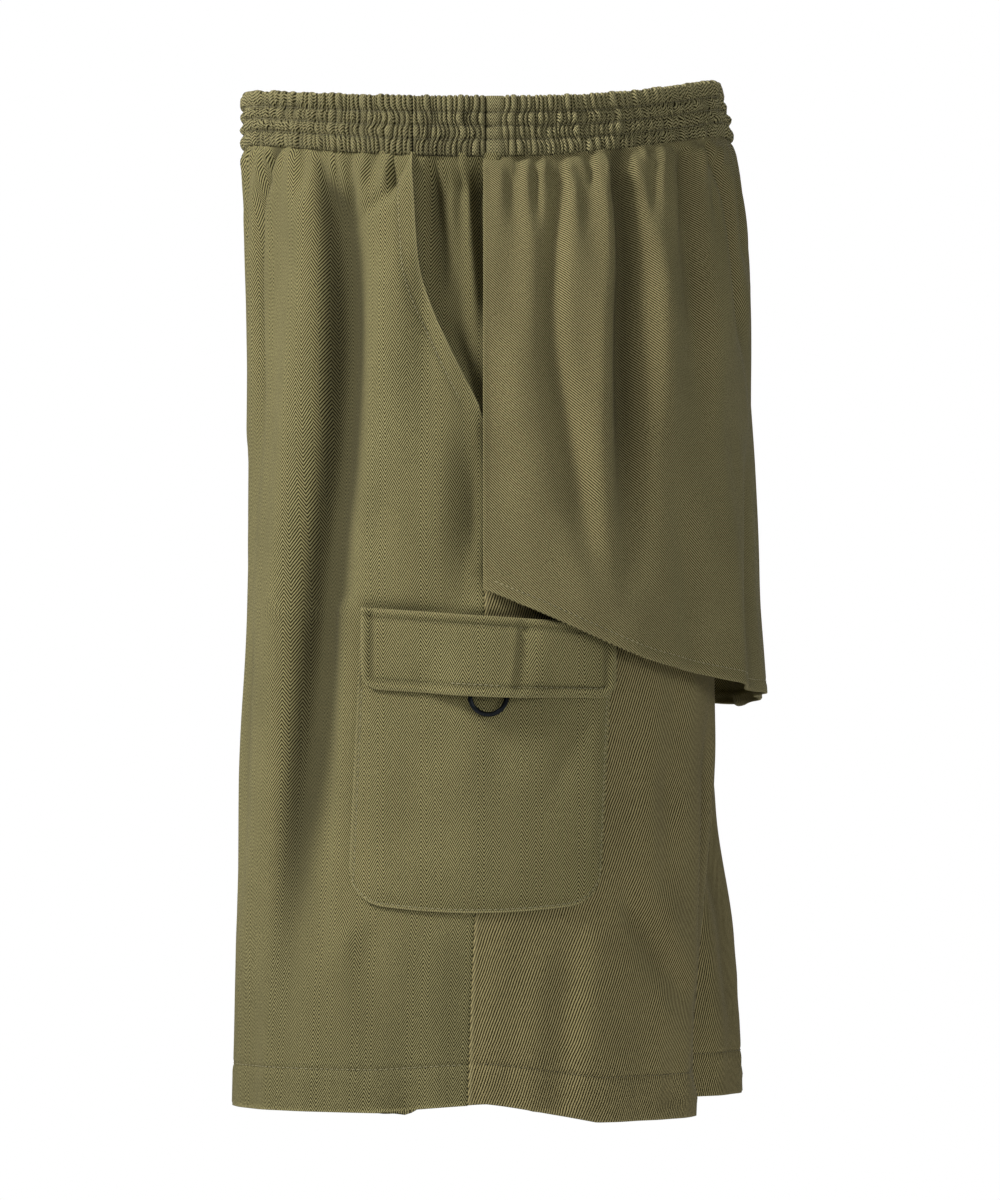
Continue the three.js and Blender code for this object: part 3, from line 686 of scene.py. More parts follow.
band = {
    "wall": 0.5, "rise": 0.3, "fold": 1.1, "ridge": 3.3, "pinch": 1.3, "jitter": 1.0, "lean": 1.3, "tab": 9.0,
    "rows": [0, 0.29, 0.52, 0.75, 1.0],  # shares of its height where it is stitched
    "hipWidth": (2.1, 3.3), "backWidth": (2.2, 3.9), "frontTight": (2.2, 3.8), "frontLoose": (2.3, 4.4),
}
halfFront = -float(arcAt(bodyArcs, 0.0, 0.0))
bandSeamArc = float(arcAt(bodyArcs, bandSeamU, 0.0))
halfBack = float(arcAt(bodyArcs, 4.0, 0.0))


def frontWidth(a):
    return band["frontLoose"] if -131 < a < -50 else band["frontTight"]


def backWidth(a):
    return (band["tab"], band["tab"]) if a < 1 else band["backWidth"]


# edges of the gathers in each half, by distance from the side seam, and for each row of shirring
# how far they stray and how high the gathers stand
gathers = {}
for bandSide in (1, -1):
    seed = 20 if bandSide > 0 else 50
    gathers["front", bandSide] = gatherEdges(seed + 1, -halfFront, bandSeamArc, frontWidth)
    gathers["hip", bandSide] = gatherEdges(seed + 2, bandSeamArc, 0, lambda a: band["hipWidth"])
    gathers["back", bandSide] = gatherEdges(seed + 3, 0, halfBack, backWidth)

gatherRows = {}
for bandKey, bandEdges in gathers.items():
    dice = random.Random(len(bandEdges) * bandKey[1])
    strays = [[dice.uniform(-1, 1) * band["jitter"] + band["lean"] * math.sin(edge / 19 + 2.3 * row)
               for edge in bandEdges] for row in range(4)]
    gatherRows[bandKey] = np.array(strays), np.array(
        [[dice.choice((0.35, 0.7, 0.85, 1.0, 1.1)) for _ in bandEdges] for row in range(4)])


# A place on the band. g counts its gathers from their first edge, and q runs from 0 up the outer face
# to 1, over the top to 1.15 and down the inner face to 2.15.
def bandPlace(part, side, g, q, lift=0.0):
    edges = gathers[part, side]
    strays, heights = gatherRows[part, side]
    turn = np.clip((q - 1) / 0.15, 0, 1) * math.pi
    v = np.where(q < 1.15, np.minimum(q, 1), 2.15 - q)
    cell = np.clip(g.astype(int), 0, len(edges) - 2)
    t = g - cell
    rows = np.array(band["rows"])
    row = np.clip(np.searchsorted(rows, v, side="right") - 1, 0, 3)
    inRow = (v - rows[row]) / (rows[row + 1] - rows[row])

    # a gather strays a little from row to row
    middles = (rows[1:] + rows[:-1]) / 2
    below = np.clip(np.searchsorted(middles, v) - 1, 0, 2)
    share = smooth(v, middles[below], middles[below + 1])
    ends = []
    for n in (cell, cell + 1):
        stray = mix(strays[below, n], strays[below + 1, n], share)
        ends.append(edges[n] + np.where((n == 0) | (n == len(edges) - 1), 0, stray))
    a = mix(ends[0], ends[1], t)
    u = uAtArc(bodyArcs, a, 0.0, 0, 4)
    y = bodyForm(u, 0.0)[..., 1]
    foot, top = waistSeam(y), bandTop(y) - band["fold"]

    tall = mix(heights[below, cell], heights[below + 1, cell], share)
    wide = np.clip((ends[1] - ends[0]) / 3.0, 0.8, 1.2)
    ridge = np.maximum(4 * t * (1 - t), 0) ** 0.6 * tall * wide
    if part == "back":
        ridge = np.where(cell == 0, 0.45 + 0.1 * ridge, ridge)
    hold = np.sin(math.pi * np.minimum(inRow, np.where(row == 3, 0.5, 1))) ** 0.55
    face = band["ridge"] * (ridge - 0.5) * (0.45 + 0.55 * hold) - band["pinch"] * (1 - hold)

    z = foot + v * (top - foot) + np.sin(turn) * (band["fold"] + 0.3 * face)
    out = band["rise"] + mix(face, -2 * band["fold"] - 0.6 - 0.4 * face, (1 - np.cos(turn)) / 2)
    for end in {"front": (bandSeamArc,), "hip": (bandSeamArc, 0), "back": (0,)}[part]:
        out = out - 1.2 * hump((a - end) / 0.9)
    normal = normalOf(bodyForm, u, z, 0, 4)
    points = bodyForm(u, z) + normal * (out + lift * np.cos(turn))[..., None]
    # painted shade in the gathers' valleys, lighter on the back, and along the pinched rows of stitches; the
    # top fold is rubbed paler
    paintedValleyShade = np.clip(1 - ridge / 0.75, 0, 1) ** 1.3 * (0.45 if part == "back" else 1.0)
    wearAndShade = 0.6 * hump((v - 1) * 9) - paintedValleyShade - 0.6 * (1 - hold) ** 2
    return points, normal, a, v, wearAndShade


# One length of band, whose columns follow its gathers
def bandLength(name, part, columns, sideOf, countOf, reverse=False):
    def placeAt(s, q):
        points = np.empty((len(s), 3))
        cloth = np.empty((len(s), 2))
        wearAndShade = np.empty(len(s))
        for side in (1, -1):
            mine = sideOf(s) == side
            if not mine.any():
                continue
            place, _, a, v, wearAndShade[mine] = bandPlace(part, side, countOf(s[mine], side), q[mine])
            points[mine] = toSide(place, side)
            cloth[mine] = np.stack([a * 1.5 * side, v * 33 + np.where(q[mine] > 1.1, 40, 0)], axis=-1)
        return points, cloth, wearAndShade, None

    inRow = [0, 0.08, 0.24, 0.5, 0.76, 0.92]
    outer = [mix(low, high, t) for low, high in zip(band["rows"], band["rows"][1:]) for t in inRow]
    rows = outer + [1.0, 1.04, 1.075, 1.11, 1.15] + list(np.linspace(1.25, 2.15, 7))
    piece = clothPiece(name, columns, rows[::-1], placeAt, band, bandCloth, reverse)
    return declared(piece, name)


def gatherColumns(edges):
    inside = [0, 0.12, 0.34, 0.66, 0.88]
    return np.array([n + t for n in range(len(edges) - 1) for t in inside] + [len(edges) - 1.0])


def backCount(s, side):
    return len(gathers["back", side]) - 1 - np.abs(s)


frontColumns = {side: gatherColumns(gathers["front", side]) for side in (1, -1)}
backColumns = {side: gatherColumns(gathers["back", side]) for side in (1, -1)}
bandFront = bandLength("band_front", "front",
                       np.concatenate([-frontColumns[-1][::-1], frontColumns[1][1:]]),
                       lambda s: np.where(s > 0, 1, -1), lambda s, side: np.abs(s))
bandBack = bandLength("band_back", "back",
                      np.concatenate([backColumns[1] - backColumns[1][-1],
                                      (backColumns[-1][-1] - backColumns[-1])[::-1][1:]]),
                      lambda s: np.where(s < 0, 1, -1), backCount)
bandHips = {side: bandLength("band_hip_" + sideName(side), "hip", gatherColumns(gathers["hip", side]),
                             lambda s, side=side: np.full(len(s), side), lambda s, side: s, side < 0)
            for side in (1, -1)}
print("waistband made")


def seamAt(a):
    return waistSeam(bodyForm(uAtArc(bodyArcs, a, -10.0, 0, 4), -10.0)[..., 1])


# Front panels

front = {
    "wall": 0.7, "hemWall": 2.4, "step": 2.4, "drape": 1.4, "tuck": 0.5, "swell": 1.1, "mouthHem": 9,
    "gathers": {"short": 8, "long": 46, "depth": 3.4},
    "creases": [
        # the long fold down the front of the thigh, with a long slope on its front side
        ([(-100, -8), (-92, -43), (-89, -70), (-88, -110), (-89, -150), (-92, -190), (-97, -230),
          (-101, -280), (-105, -340), (-110, -410), (-115, -540)], 13, 21, 14.5, 0.3, 0.08, 0.5),
        # the slanting pleat in front of it
        ([(-131, -6), (-144, -26), (-153, -46), (-158, -91), (-156, -158), (-160, -225)], 5, 9, 5.5, -0.1,
         0.02, 0.6),
        # short pleats under the band that run together
        ([(-78, -8), (-77, -30), (-77, -56)], 3.0, 5, 3.2, 0, 0, 0.5),
        ([(-45, -8), (-52, -34), (-74, -54)], 3.0, 4.4, 3.4, 0, 0, 0.4),
        ([(-64, -8), (-61, -26), (-60, -50)], 2.6, 5, 2.8, 0, 0, 0.6),
        ([(-113, -8), (-111, -24), (-112, -48)], 2.6, 5, 3.0, 0, 0, 0.6),
        ([(-30, -8), (-31, -30), (-28, -60)], 2.4, 5, 2.2, 0, 0, 0.6),
        # soft hollows and rises on the side of the thigh
        ([(-10, -150), (-8, -208), (-10, -262)], 8, 9, 5.0, -0.2, 0.45, 0.45),
        ([(-55, -56), (-57, -110), (-55, -170)], 9, 10, -2.6, 0, 0.35, 0.45),
        ([(-36, -60), (-33, -100), (-28, -150)], 5, 7, 2.2, 0, 0.3, 0.5),
        ([(-118, -70), (-120, -150), (-126, -260), (-128, -380)], 9, 12, -2.2, 0, 0.3, 0.5),
        ([(-72, -400), (-71, -470)], 7, 8, -2.2, 0, 0.4, 0.4),
        ([(-62, -190), (-57, -240)], 7, 8, 2.2, 0, 0.4, 0.4),
        ([(-46, -440), (-44, -505), (-43, -530)], 13, 15, 3.0, 0.2, 0.6, 0),
        ([(-132, -400), (-134, -530)], 9, 12, 1.8, 0, 0.6, 0),
        # belly, crotch and inner leg
        ([(-186, -4), (-192, -60), (-204, -135)], 5, 9, 5.5, 0.1, 0, 0.6),
        ([(-214, 0), (-222, -40), (-228, -96)], 3, 7, 4.0, 0, 0, 0.6),
        ([(-170, -4), (-172, -30), (-176, -66)], 3, 6, 3.2, 0, 0, 0.6),
        ([(-236, -204), (-272, -234), (-318, -258)], 6, 10, 4.5, 0.1, 0.35, 0.2),
        ([(-214, -214), (-240, -246), (-268, -285)], 7, 10, 4.0, 0, 0.4, 0.4),
        ([(-196, -262), (-200, -350), (-192, -450), (-190, -520)], 10, 15, 5.5, 0.1, 0.35, 0.4),
        ([(-262, -292), (-256, -390), (-250, -500)], 11, 15, 4.6, 0, 0.35, 0.4),
        ([(-156, -230), (-158, -330), (-158, -450)], 14, 17, 3.6, 0, 0.35, 0.4),
        ([(-316, -300), (-310, -380), (-304, -470)], 9, 12, 3.6, 0, 0.3, 0.5),
    ],
}


# How far a place lies inside the area that a cargo pocket covers
def underPocket(y, z):
    return smooth(y, -87, -75) * smooth(-y, -80, -70) * smooth(z, -440, -427) * smooth(-z, 252, 262)


# The line along which a cargo flap's top edge is sewn down
def flapSeam(y, z):
    top = -260 - 9 * np.clip((y + 65.7) / 134.7, 0, 1)
    return hump((z - top - 0.9) / 1.3) * smooth(y, -67, -64) * smooth(-y, -70, -66)


# Rows of a leg panel from its top edge to the hem, closer at the crotch, the stitches and the edge
def legRows(top, step):
    crotch = [-258, -261, -263.5, -265.5, -266.8, -267.6, -268, -269.5]
    upper = np.arange(top[-1] - step, -257 + step, -step)
    lower = np.arange(-272, -499, -step)
    hem = [-500, -501.6, -503, -504, -504.7, -505.3, -506, -507.2, -509, -512, -515, -518, -521, -523.4,
           -525, -526, -526.7, -527]
    return np.concatenate([top, upper, crotch if upper.size else [], lower, hem])


def spreadOf(row, limit, edge):
    return (edge - limit) * np.clip(1 - np.abs(row - limit) / 90, 0, 1)


def mouthArc(z):
    y = curveThrough(pocketMouth[:, 0], pocketMouth[:, 1], z)
    low = uAtY(y, z, 1, 2)
    return np.where(z < -160, -0.1, arcAt(bodyArcs, low, z))


frontCreases = {}
for legSide in (1, -1):
    hand = creasesOf(front, legSide, 4)
    frontCreases[legSide] = hand + gathersBelow(gathers["front", legSide], 30 + legSide, seamAt,
                                                front["gathers"])


# 1 at the heights where the seat panel's front edge covers the side seam, and 0 below it
def seatOverSeam(z):
    return smooth(z, -256, -240)


# A leg's relief with its turned-up hem: the pressed upper edge, the thicker cloth and the puckers of its
# stitches; and the painted shade along the pressed edge
def turnedUp(relief, a, row, seed):
    above = row - (fit["legHemZ"] + fit["hemHeight"])
    relief = relief - 0.5 * hump(above / 1.1) + 0.3 * smooth(-above, 1, 4)
    return relief + 0.4 * pucker(a, seed) * hump((above + 3) / 6), 0.12 * hump(above / 0.8)


# A place on a front panel, where inner and mouth are its distances from its two long edges
def frontPlace(side, a, row, lift=0.0):
    y = bodyForm(uAtArc(bodyArcs, a, row, 0, 2), row)[..., 1]
    z = row + spreadOf(row, fit["waistSeamZ"], waistSeam(y)) + spreadOf(row, fit["legHemZ"], legHem(y))
    u = uAtArc(bodyArcs, a, z, 0, 2)
    y = bodyForm(u, z)[..., 1]
    inner = a - arcAt(bodyArcs, 0.0, z)
    mouth = mouthArc(z) - a
    open_ = smooth(z, -168, -150)
    fromSeam = waistSeam(y) - z
    relief = creaseRelief(frontCreases[side], a, z)
    # painted shade in the folds, and painted shade that darkens the leg towards the hem
    paintedShade = paintedFoldShade(relief, 1.0, 9.5) + 0.3 * smooth(-z, 400, 500)
    relief = heldAbove(relief + drape(a, z, 6 + side, front["drape"]) * smooth(fromSeam, 0, 60), fromSeam)
    relief = (relief * (1 - 0.93 * underPocket(y, z)) * smooth(inner, -1, 14)
              * mix(smooth(mouth, -6, 10), 1, open_))
    relief = relief - front["tuck"] * hump(np.maximum(fromSeam + 1.2, 0) / 2.2)
    relief = relief + front["swell"] * smooth(fromSeam, 0, 6) * (1 - smooth(fromSeam, 12, 60))
    relief = relief - 0.9 * hump(inner / 1.4)
    # the edge dips into the side seam, and deeper where the seat panel's edge lies over it
    covered = seatOverSeam(z) * (1 - open_)
    relief = relief - 0.5 * (1 - open_) * hump(mouth / 1.1) - 2.6 * covered * (1 - smooth(mouth, 0, 9))
    # the pocket mouth stands a little proud and is pulled in by its row of stitches
    relief = relief + open_ * (0.5 * hump(mouth / 3.5) - 0.8 * hump((mouth - front["mouthHem"]) / 1.2)
                               + 0.18 * pucker(z, 3 + side) * hump((mouth - 6) / 5))
    sunk = flapSeam(y, z)
    relief = relief - 1.2 * sunk
    relief, pressed = turnedUp(relief, a, row, 12 + side)
    # painted shade along the pocket mouth's stitched groove, in the seat panel edge's shadow and in the
    # groove above the cargo flap
    paintedShade = paintedShade + open_ * 0.5 * hump((mouth - front["mouthHem"]) / 0.9)
    paintedShade = paintedShade + 0.8 * covered * hump(mouth / 2.6) + 0.7 * sunk
    paintedShade = paintedShade + pressed
    normal = normalOf(bodyForm, u, z, 0, 2)
    points = bodyForm(u, z) + normal * (relief + lift)[..., None]
    wearAndShade = 0.7 * open_ * hump(mouth / 1.3) + 0.6 * hump((row - fit["legHemZ"]) / 1.5) - paintedShade
    return toSide(points, side), normal * [side, 1, 1], z, wearAndShade


def frontPanel(side):
    step = stepOf(front, side)
    rows = legRows(np.array([1.6, 0.8, 0, -0.9, -1.9, -3.2]) + fit["waistSeamZ"], step)
    columns = spaced(270, step)

    def placeAt(s, row):
        flat = row.copy()
        a = mix(arcAt(bodyArcs, 0.0, flat), mouthArc(flat), s)
        points, _, z, wearAndShade = frontPlace(side, a, row)
        return points, np.stack([a * side, z], axis=-1), wearAndShade, row < fit["legHemZ"] + fit["hemHeight"]

    name = "front_" + sideName(side)
    piece = clothPiece(name, columns, rows, placeAt, front, frontCloth, reverse=side < 0)
    return declared(piece, name)


frontPanels = {side: frontPanel(side) for side in (1, -1)}
print("front panels made")


# Hip pieces, which fill the pocket mouths

hip = {
    "wall": 0.7, "step": 2.0, "under": 2.8, "deeper": 8.0, "lap": 11, "behind": 8, "footZ": -174,
    "gathers": {"short": 12, "long": 60, "depth": 2.4},
    "creases": [
        ([(-7, -8), (-4, -51), (-1, -84), (-1, -130)], 3.4, 5, 5.6, 0.3, 0, 0.6),
        ([(-30, -8), (-26, -62), (-18, -111)], 3.4, 6, 5.0, 0.3, 0, 0.6),
        ([(-18, -8), (-15, -42), (-11, -90)], 2.6, 5, 3.0, 0, 0, 0.6),
        ([(-17, -70), (-10, -130)], 5, 6, 2.4, 0, 0.4, 0.3),
    ],
}


def hipPanel(side):
    creases = creasesOf(hip, side, 8)
    creases = creases + gathersBelow(gathers["hip", side], 60 + side, seamAt, hip["gathers"])

    def placeAt(s, t):
        rough = mix(fit["waistSeamZ"], hip["footZ"], t)
        mouth = mouthArc(np.maximum(rough, -150))
        a = mix(mouth - hip["lap"], hip["behind"], s)
        u = uAtArc(bodyArcs, a, rough, 1, 3)
        top = waistSeam(bodyForm(u, rough)[..., 1])
        z = rough + (top + 1.6 - fit["waistSeamZ"]) * (1 - t) ** 3
        relief = creaseRelief(creases, a, z)
        relief = heldAbove(relief, top - z)
        under = hip["under"] + hip["deeper"] * smooth(a - mouth, -3, 9)
        relief = relief - under * smooth(top - z, -2, 18) - 0.8 * hump((top - z) / 2)
        normal = normalOf(bodyForm, u, z, 0, 4)
        points = bodyForm(u, z) + normal * relief[..., None]
        # the colour gets painted shade in the folds and in the recess under the front panel's pocket mouth
        return toSide(points, side), np.stack([a * side, z], axis=-1), -paintedFoldShade(relief, 5, 24), None

    name = "hip_" + sideName(side)
    piece = clothPiece(name, spaced(54, hip["step"], False, False), spaced(158, hip["step"], True, False),
                       placeAt, hip, frontCloth, reverse=side < 0)
    return declared(piece, name)


hipPanels = {side: hipPanel(side) for side in (1, -1)}
print("hip pieces made")


# Backs of the legs

backLeg = {
    "wall": 0.7, "hemWall": 2.4, "step": 2.4, "drape": 1.3, "topZ": -150, "levelZ": -288,
    "behindSeat": 9,
    "creases": [
        ([(70, -402), (88, -426), (104, -446), (122, -468), (146, -490)], 9, 12, 4.2, 0.0, 0.35, 0.4),
        ([(54, -425), (51, -490), (49, -530)], 9, 11, 1.8, 0, 0.5, 0),
        ([(106, -330), (112, -400), (104, -440)], 9, 10, 2.6, 0, 0.35, 0.5),
        ([(150, -300), (158, -380), (160, -450), (156, -530)], 11, 14, 6.0, -0.1, 0.3, 0.1),
        ([(188, -270), (196, -350), (188, -440), (184, -530)], 9, 14, 5.0, -0.1, 0.3, 0.2),
        ([(232, -282), (240, -360), (236, -470)], 10, 12, -2.8, 0, 0.3, 0.4),
        ([(262, -276), (268, -360), (258, -460), (254, -530)], 9, 14, 5.0, 0, 0.3, 0.2),
        ([(306, -284), (300, -350), (292, -430)], 8, 12, 4.0, 0, 0.3, 0.5),
        ([(120, -480), (124, -530)], 10, 13, 2.0, 0, 0.7, 0),
    ],
}
legCreases = {side: creasesOf(backLeg, side, 15) for side in (1, -1)}


def backLegPlace(side, u, z, row, lift=0.0):
    a = arcAt(bodyArcs, u, z)
    y = bodyForm(u, z)[..., 1]
    inner = arcAt(bodyArcs, 4.0, z) - a
    relief = creaseRelief(legCreases[side], a, z)
    # painted shade in the folds
    paintedShade = paintedFoldShade(relief, 1, 9)
    relief = relief + drape(a, z, 40 + side, backLeg["drape"])
    relief = relief * (1 - 0.93 * underPocket(y, z)) * smooth(inner, -1, 14) * smooth(a, -1, 12)
    relief = relief - backLeg["behindSeat"] * smooth(z, -290, -245) * smooth(a, 3, 30)
    relief = relief - 3.2 * seatOverSeam(z) * (1 - smooth(a, 3, 12))
    # a pressed edge beside the side seam, under which it runs on
    relief = relief - 0.9 * hump(inner / 1.4) + 0.4 * hump((a - 1.2) / 0.8) - 1.9 * smooth(0.3 - a)
    sunk = flapSeam(y, z)
    relief = relief - 1.2 * sunk
    relief, pressed = turnedUp(relief, a, row, 16 + side)
    # painted shade in the groove above the cargo flap and along the hem's pressed edge
    paintedShade = paintedShade + 0.7 * sunk + pressed
    normal = normalOf(bodyForm, u, z, 0, 4)
    points = bodyForm(u, z) + normal * (relief + lift)[..., None]
    wearAndShade = 0.6 * hump((row - fit["legHemZ"]) / 1.5) + 1.0 * hump((a - 1.2) / 0.7) - paintedShade
    return toSide(points, side), normal * [side, 1, 1], a, wearAndShade


# height of a row of the back of a leg, whose top edge falls from the side seam to the crotch
def backLegHeight(u, row):
    share = (u - 2) / 2
    top = mix(backLeg["topZ"], fit["crotchZ"], smooth(share))
    drop = legHem(bodyForm(u, fit["legHemZ"])[..., 1]) - fit["legHemZ"]
    above = (row - backLeg["levelZ"]) / (backLeg["topZ"] - backLeg["levelZ"])
    low = row + drop * np.clip(1 - (row - fit["legHemZ"]) / 90, 0, 1)
    return np.where(row > backLeg["levelZ"], mix(backLeg["levelZ"], top, above), low)


def backLegPanel(side):
    step = stepOf(backLeg, side)
    rows = legRows(np.array([0, -0.8, -1.8, -3.2]) + backLeg["topZ"], step)
    rows = rows[np.concatenate([[True], np.abs(np.diff(rows)) > 0.4])]
    columns = spaced(345, step)
    turns = uAtArc(bodyArcs, columns * arcAt(bodyArcs, 4.0, -400.0), -400.0, 2, 4)
    turns[0], turns[-1] = 1.994, 4.0  # its edge lies under the front panel's

    def placeAt(u, row):
        z = backLegHeight(u, row)
        points, _, a, wearAndShade = backLegPlace(side, u, z, row)
        return points, np.stack([a * side, z], axis=-1), wearAndShade, row < fit["legHemZ"] + fit["hemHeight"]

    name = "back_leg_" + sideName(side)
    piece = clothPiece(name, turns, rows, placeAt, backLeg, legCloth, reverse=side < 0)
    return declared(piece, name)


backLegPanels = {side: backLegPanel(side) for side in (1, -1)}
print("backs of the legs made")


# Seat panel, one piece of cloth right round the back

seat = {
    "wall": 0.75, "hemWall": 1.9, "step": 2.1, "drape": 1.1, "hem": 6.5,
    "gathers": {"short": 10, "long": 80, "depth": 2.7},
    "creases": {
        1: [
            # the sharp fold down the side of the seat, with its rise in front
            ([(75, -6), (76, -32), (78, -47), (79, -73), (78, -101), (78, -149), (79, -210), (82, -296)],
             6, 10.5, 12.5, 0.3, 0.01, 0.6),
            ([(58, -40), (59, -80), (60, -120), (61, -170), (61, -220)], 7, 9, -2.0, 0, 0.3, 0.5),
            # a long soft one in front of it that bends back towards the hem
            ([(41, -6), (41, -39), (38, -73), (37, -94), (38, -121), (42, -148), (47, -175), (52, -202),
              (58, -229), (66, -256)], 4.5, 9, 6.0, -0.1, 0.01, 0.25),
            ([(121, -8), (122, -30), (124, -68), (129, -116), (134, -190)], 6, 11, 6.5, -0.1, 0.01, 0.6),
            ([(142, -4), (156, -26), (163, -55), (170, -85), (185, -112), (202, -156)],
             5, 10, 6.5, 0, 0.01, 0.5),
            ([(16, -96), (17, -186)], 8, 9, -1.8, 0, 0.4, 0.4),
            ([(101, -54), (103, -100), (104, -190)], 6, 9, -2.8, 0, 0.3, 0.4),
            ([(19, -8), (18, -36), (22, -70)], 2.8, 6, 3.0, 0, 0, 0.6),
            ([(58, -6), (59, -30), (57, -60)], 3.4, 6, 3.6, 0, 0, 0.7),
            ([(98, -6), (97, -30), (99, -58)], 3, 6, 3.0, 0, 0, 0.6),
            ([(30, -8), (29, -34), (31, -66)], 2.6, 6, 3.2, 0, 0, 0.6),
            ([(88, -4), (90, -28), (89, -52)], 2.4, 5, 2.6, 0, 0, 0.6),
            ([(49, -8), (50, -26), (48, -44)], 2.2, 4, 2.4, 0, 0, 0.6),
            ([(114, -190), (120, -235), (124, -310)], 10, 13, 3.0, 0, 0.4, 0.05),
            ([(150, -160), (156, -235), (160, -318)], 10, 13, -2.6, 0, 0.4, 0.05),
            ([(196, -150), (190, -230), (188, -320)], 10, 15, 5.0, 0.1, 0.35, 0.05),
            ([(206, -4), (209, -52), (214, -128)], 4, 9, 6.0, 0, 0.01, 0.6),
            ([(233, 0), (229, -36), (226, -84)], 4, 7, 4.4, 0, 0.01, 0.6),
            ([(178, -4), (182, -40), (190, -82)], 4, 7, 4.4, 0, 0.01, 0.6),
            ([(240, -110), (244, -200), (246, -300)], 10, 14, -1.2, 0, 0.4, 0.2),
            ([(270, -180), (276, -250), (282, -322)], 10, 14, 4.0, 0, 0.4, 0.05),
        ],
    },
}
seat["creases"][-1] = varied(seat["creases"][1], 23)
for seatSide in (1, -1):
    seat["creases"][seatSide] = seat["creases"][seatSide] + gathersBelow(
        gathers["back", seatSide], 70 + seatSide, seamAt, seat["gathers"])


def seatHeights(u, side):
    share = np.where(side > 0, (u - 2) / 4, 1 - (u - 2) / 4)
    foot = curveThrough(seatHem[:, 0], seatHem[:, 1], share)
    top = np.full(u.shape, fit["waistSeamZ"])
    for _ in range(5):
        top = waistSeam(seatForm(u, top)[..., 1])
    return top, foot


# A place on the seat panel at a distance below the waist seam or above the lower edge
def seatPlace(side, u, z, top, foot, lift=0.0):
    a = arcAt(seatArcs, u, z)
    down = top - z
    relief = creaseRelief(seat["creases"][side], a, z)
    # painted shade in the folds
    paintedShade = paintedFoldShade(relief, 1.5, 13)
    relief = heldAbove(relief + drape(a, z, 80 + side, seat["drape"]) * smooth(down, 0, 70), down)
    relief = relief * smooth(a, -8, 10)
    standOff = 0.9 + 2.6 * np.clip(3 - u, 0, 1)
    relief = relief - standOff * (1 - smooth(down, 0, 7)) - 0.4 * hump(down / 1.6)
    above = z - foot
    relief = relief - 0.4 * hump((above - seat["hem"]) / 0.9) + 0.15 * smooth(-above, -seat["hem"], -3)
    relief = relief + 0.32 * pucker(a, 26 + side) * hump((above - 4) / 5)
    relief = relief - 0.3 * hump((a - 3.4) / 0.9)
    normal = normalOf(seatForm, u, z, 2, 4)
    points = seatForm(u, z) + normal * (relief + lift)[..., None]
    wearAndShade = 0.5 * hump(above / 1.3) + 0.45 * hump(a / 0.9) - paintedShade
    if side < 0:
        points = points * [-1, 1, 1]
    return points, normal * [side, 1, 1], a, wearAndShade


def seatPanel():
    half = arcAt(seatArcs, 4.0, -150.0)
    columns = spaced(2 * float(half), seat["step"])
    down = np.concatenate([[0, 0.004, 0.008, 0.013, 0.02], np.linspace(0.028, 0.955, 124),
                           [0.962, 0.968, 0.973, 0.977, 0.981, 0.986, 0.991, 0.995, 0.998, 1.0]])

    def placeAt(s, t):
        points = np.empty((len(s), 3))
        cloth = np.empty((len(s), 2))
        wearAndShade = np.empty(len(s))
        thick = np.empty(len(s), bool)
        for side in (1, -1):
            mine = s <= 0.5 if side > 0 else s > 0.5
            share = s[mine] * 2 if side > 0 else 2 - s[mine] * 2
            u = uAtArc(seatArcs, share * half, -150.0, 2, 4)
            top, foot = seatHeights(u, side)
            z = mix(top + 1.4, foot, t[mine])
            points[mine], _, a, wearAndShade[mine] = seatPlace(side, u, z, top, foot)
            cloth[mine] = np.stack([(a - arcAt(seatArcs, 4.0, z)) * side, z], axis=-1)
            thick[mine] = z - foot < seat["hem"]
        return points, cloth, wearAndShade, thick

    piece = clothPiece("seat_flap", columns, down, placeAt, seat, seatCloth)
    return declared(piece, "seat_flap")


seatCover = seatPanel()
print("seat panel made")


# Cargo pockets and their flaps, sewn flat on the sides of the legs

pocket = {
    "wall": 0.7, "step": 1.8, "topZ": -273, "footZ": -424, "frontTop": -66.5, "frontFoot": -73,
    "backTop": 68, "backFoot": 62, "corner": 17, "bow": 6, "edge": 1.3, "rise": 2.4, "bulge": 2.4,
    "drape": 0.5, "length": 135, "height": 150, "footLength": 134.5, "bulgeFront": -70, "bulgeBack": 66,
    "stitchInset": 1.7,
    "creases": [
        ([(58, -310), (44, -340), (37, -372)], 5, 8, 1.9, 0.1, 0.2, 0.6),
        ([(61, -328), (58, -404)], 3, 3.5, -0.7, 0, 0.3, 0.3),
        ([(-40, -330), (-36, -400)], 8, 10, 0.9, 0, 0.4, 0.4),
        ([(6, -322), (2, -372)], 10, 10, 0.8, 0, 0.3, 0.5),
    ],
}
flap = {
    "wall": 0.9, "step": 1.5, "topFront": -260, "topBack": -269, "footFront": -304, "footBack": -309,
    "front": -65.7, "back": 69, "corner": 10, "rise": 3.6, "over": 6.4, "hem": 5.3, "drape": 0.25,
    "length": 135, "meshHeight": 44, "height": 45,
    "creases": [
        ([(20, -262), (18, -290), (15, -312)], 3.4, 4.6, 1.7, 0.6, 0.2, 0.1),
        ([(-30, -286), (-32, -308)], 6, 8, 0.6, 0, 0.5, 0),
    ],
}
ring = {"wire": 2.7, "width": 22.3, "y": 1.6, "barZ": -306, "corner": 1.5, "barOut": 5.3}


def cornerLift(radius, distance):
    inside = np.clip(radius - distance, 0, radius)
    return radius - np.sqrt(radius ** 2 - inside ** 2)


# A place on a patch at (y, z), raised by out from the body's face
def patchPlace(side, y, z, out):
    u = uAtY(y, z)
    normal = normalOf(bodyForm, u, z, 0, 4)
    points = bodyForm(u, z) + normal * np.asarray(out)[..., None]
    return toSide(points, side), normal * [side, 1, 1]


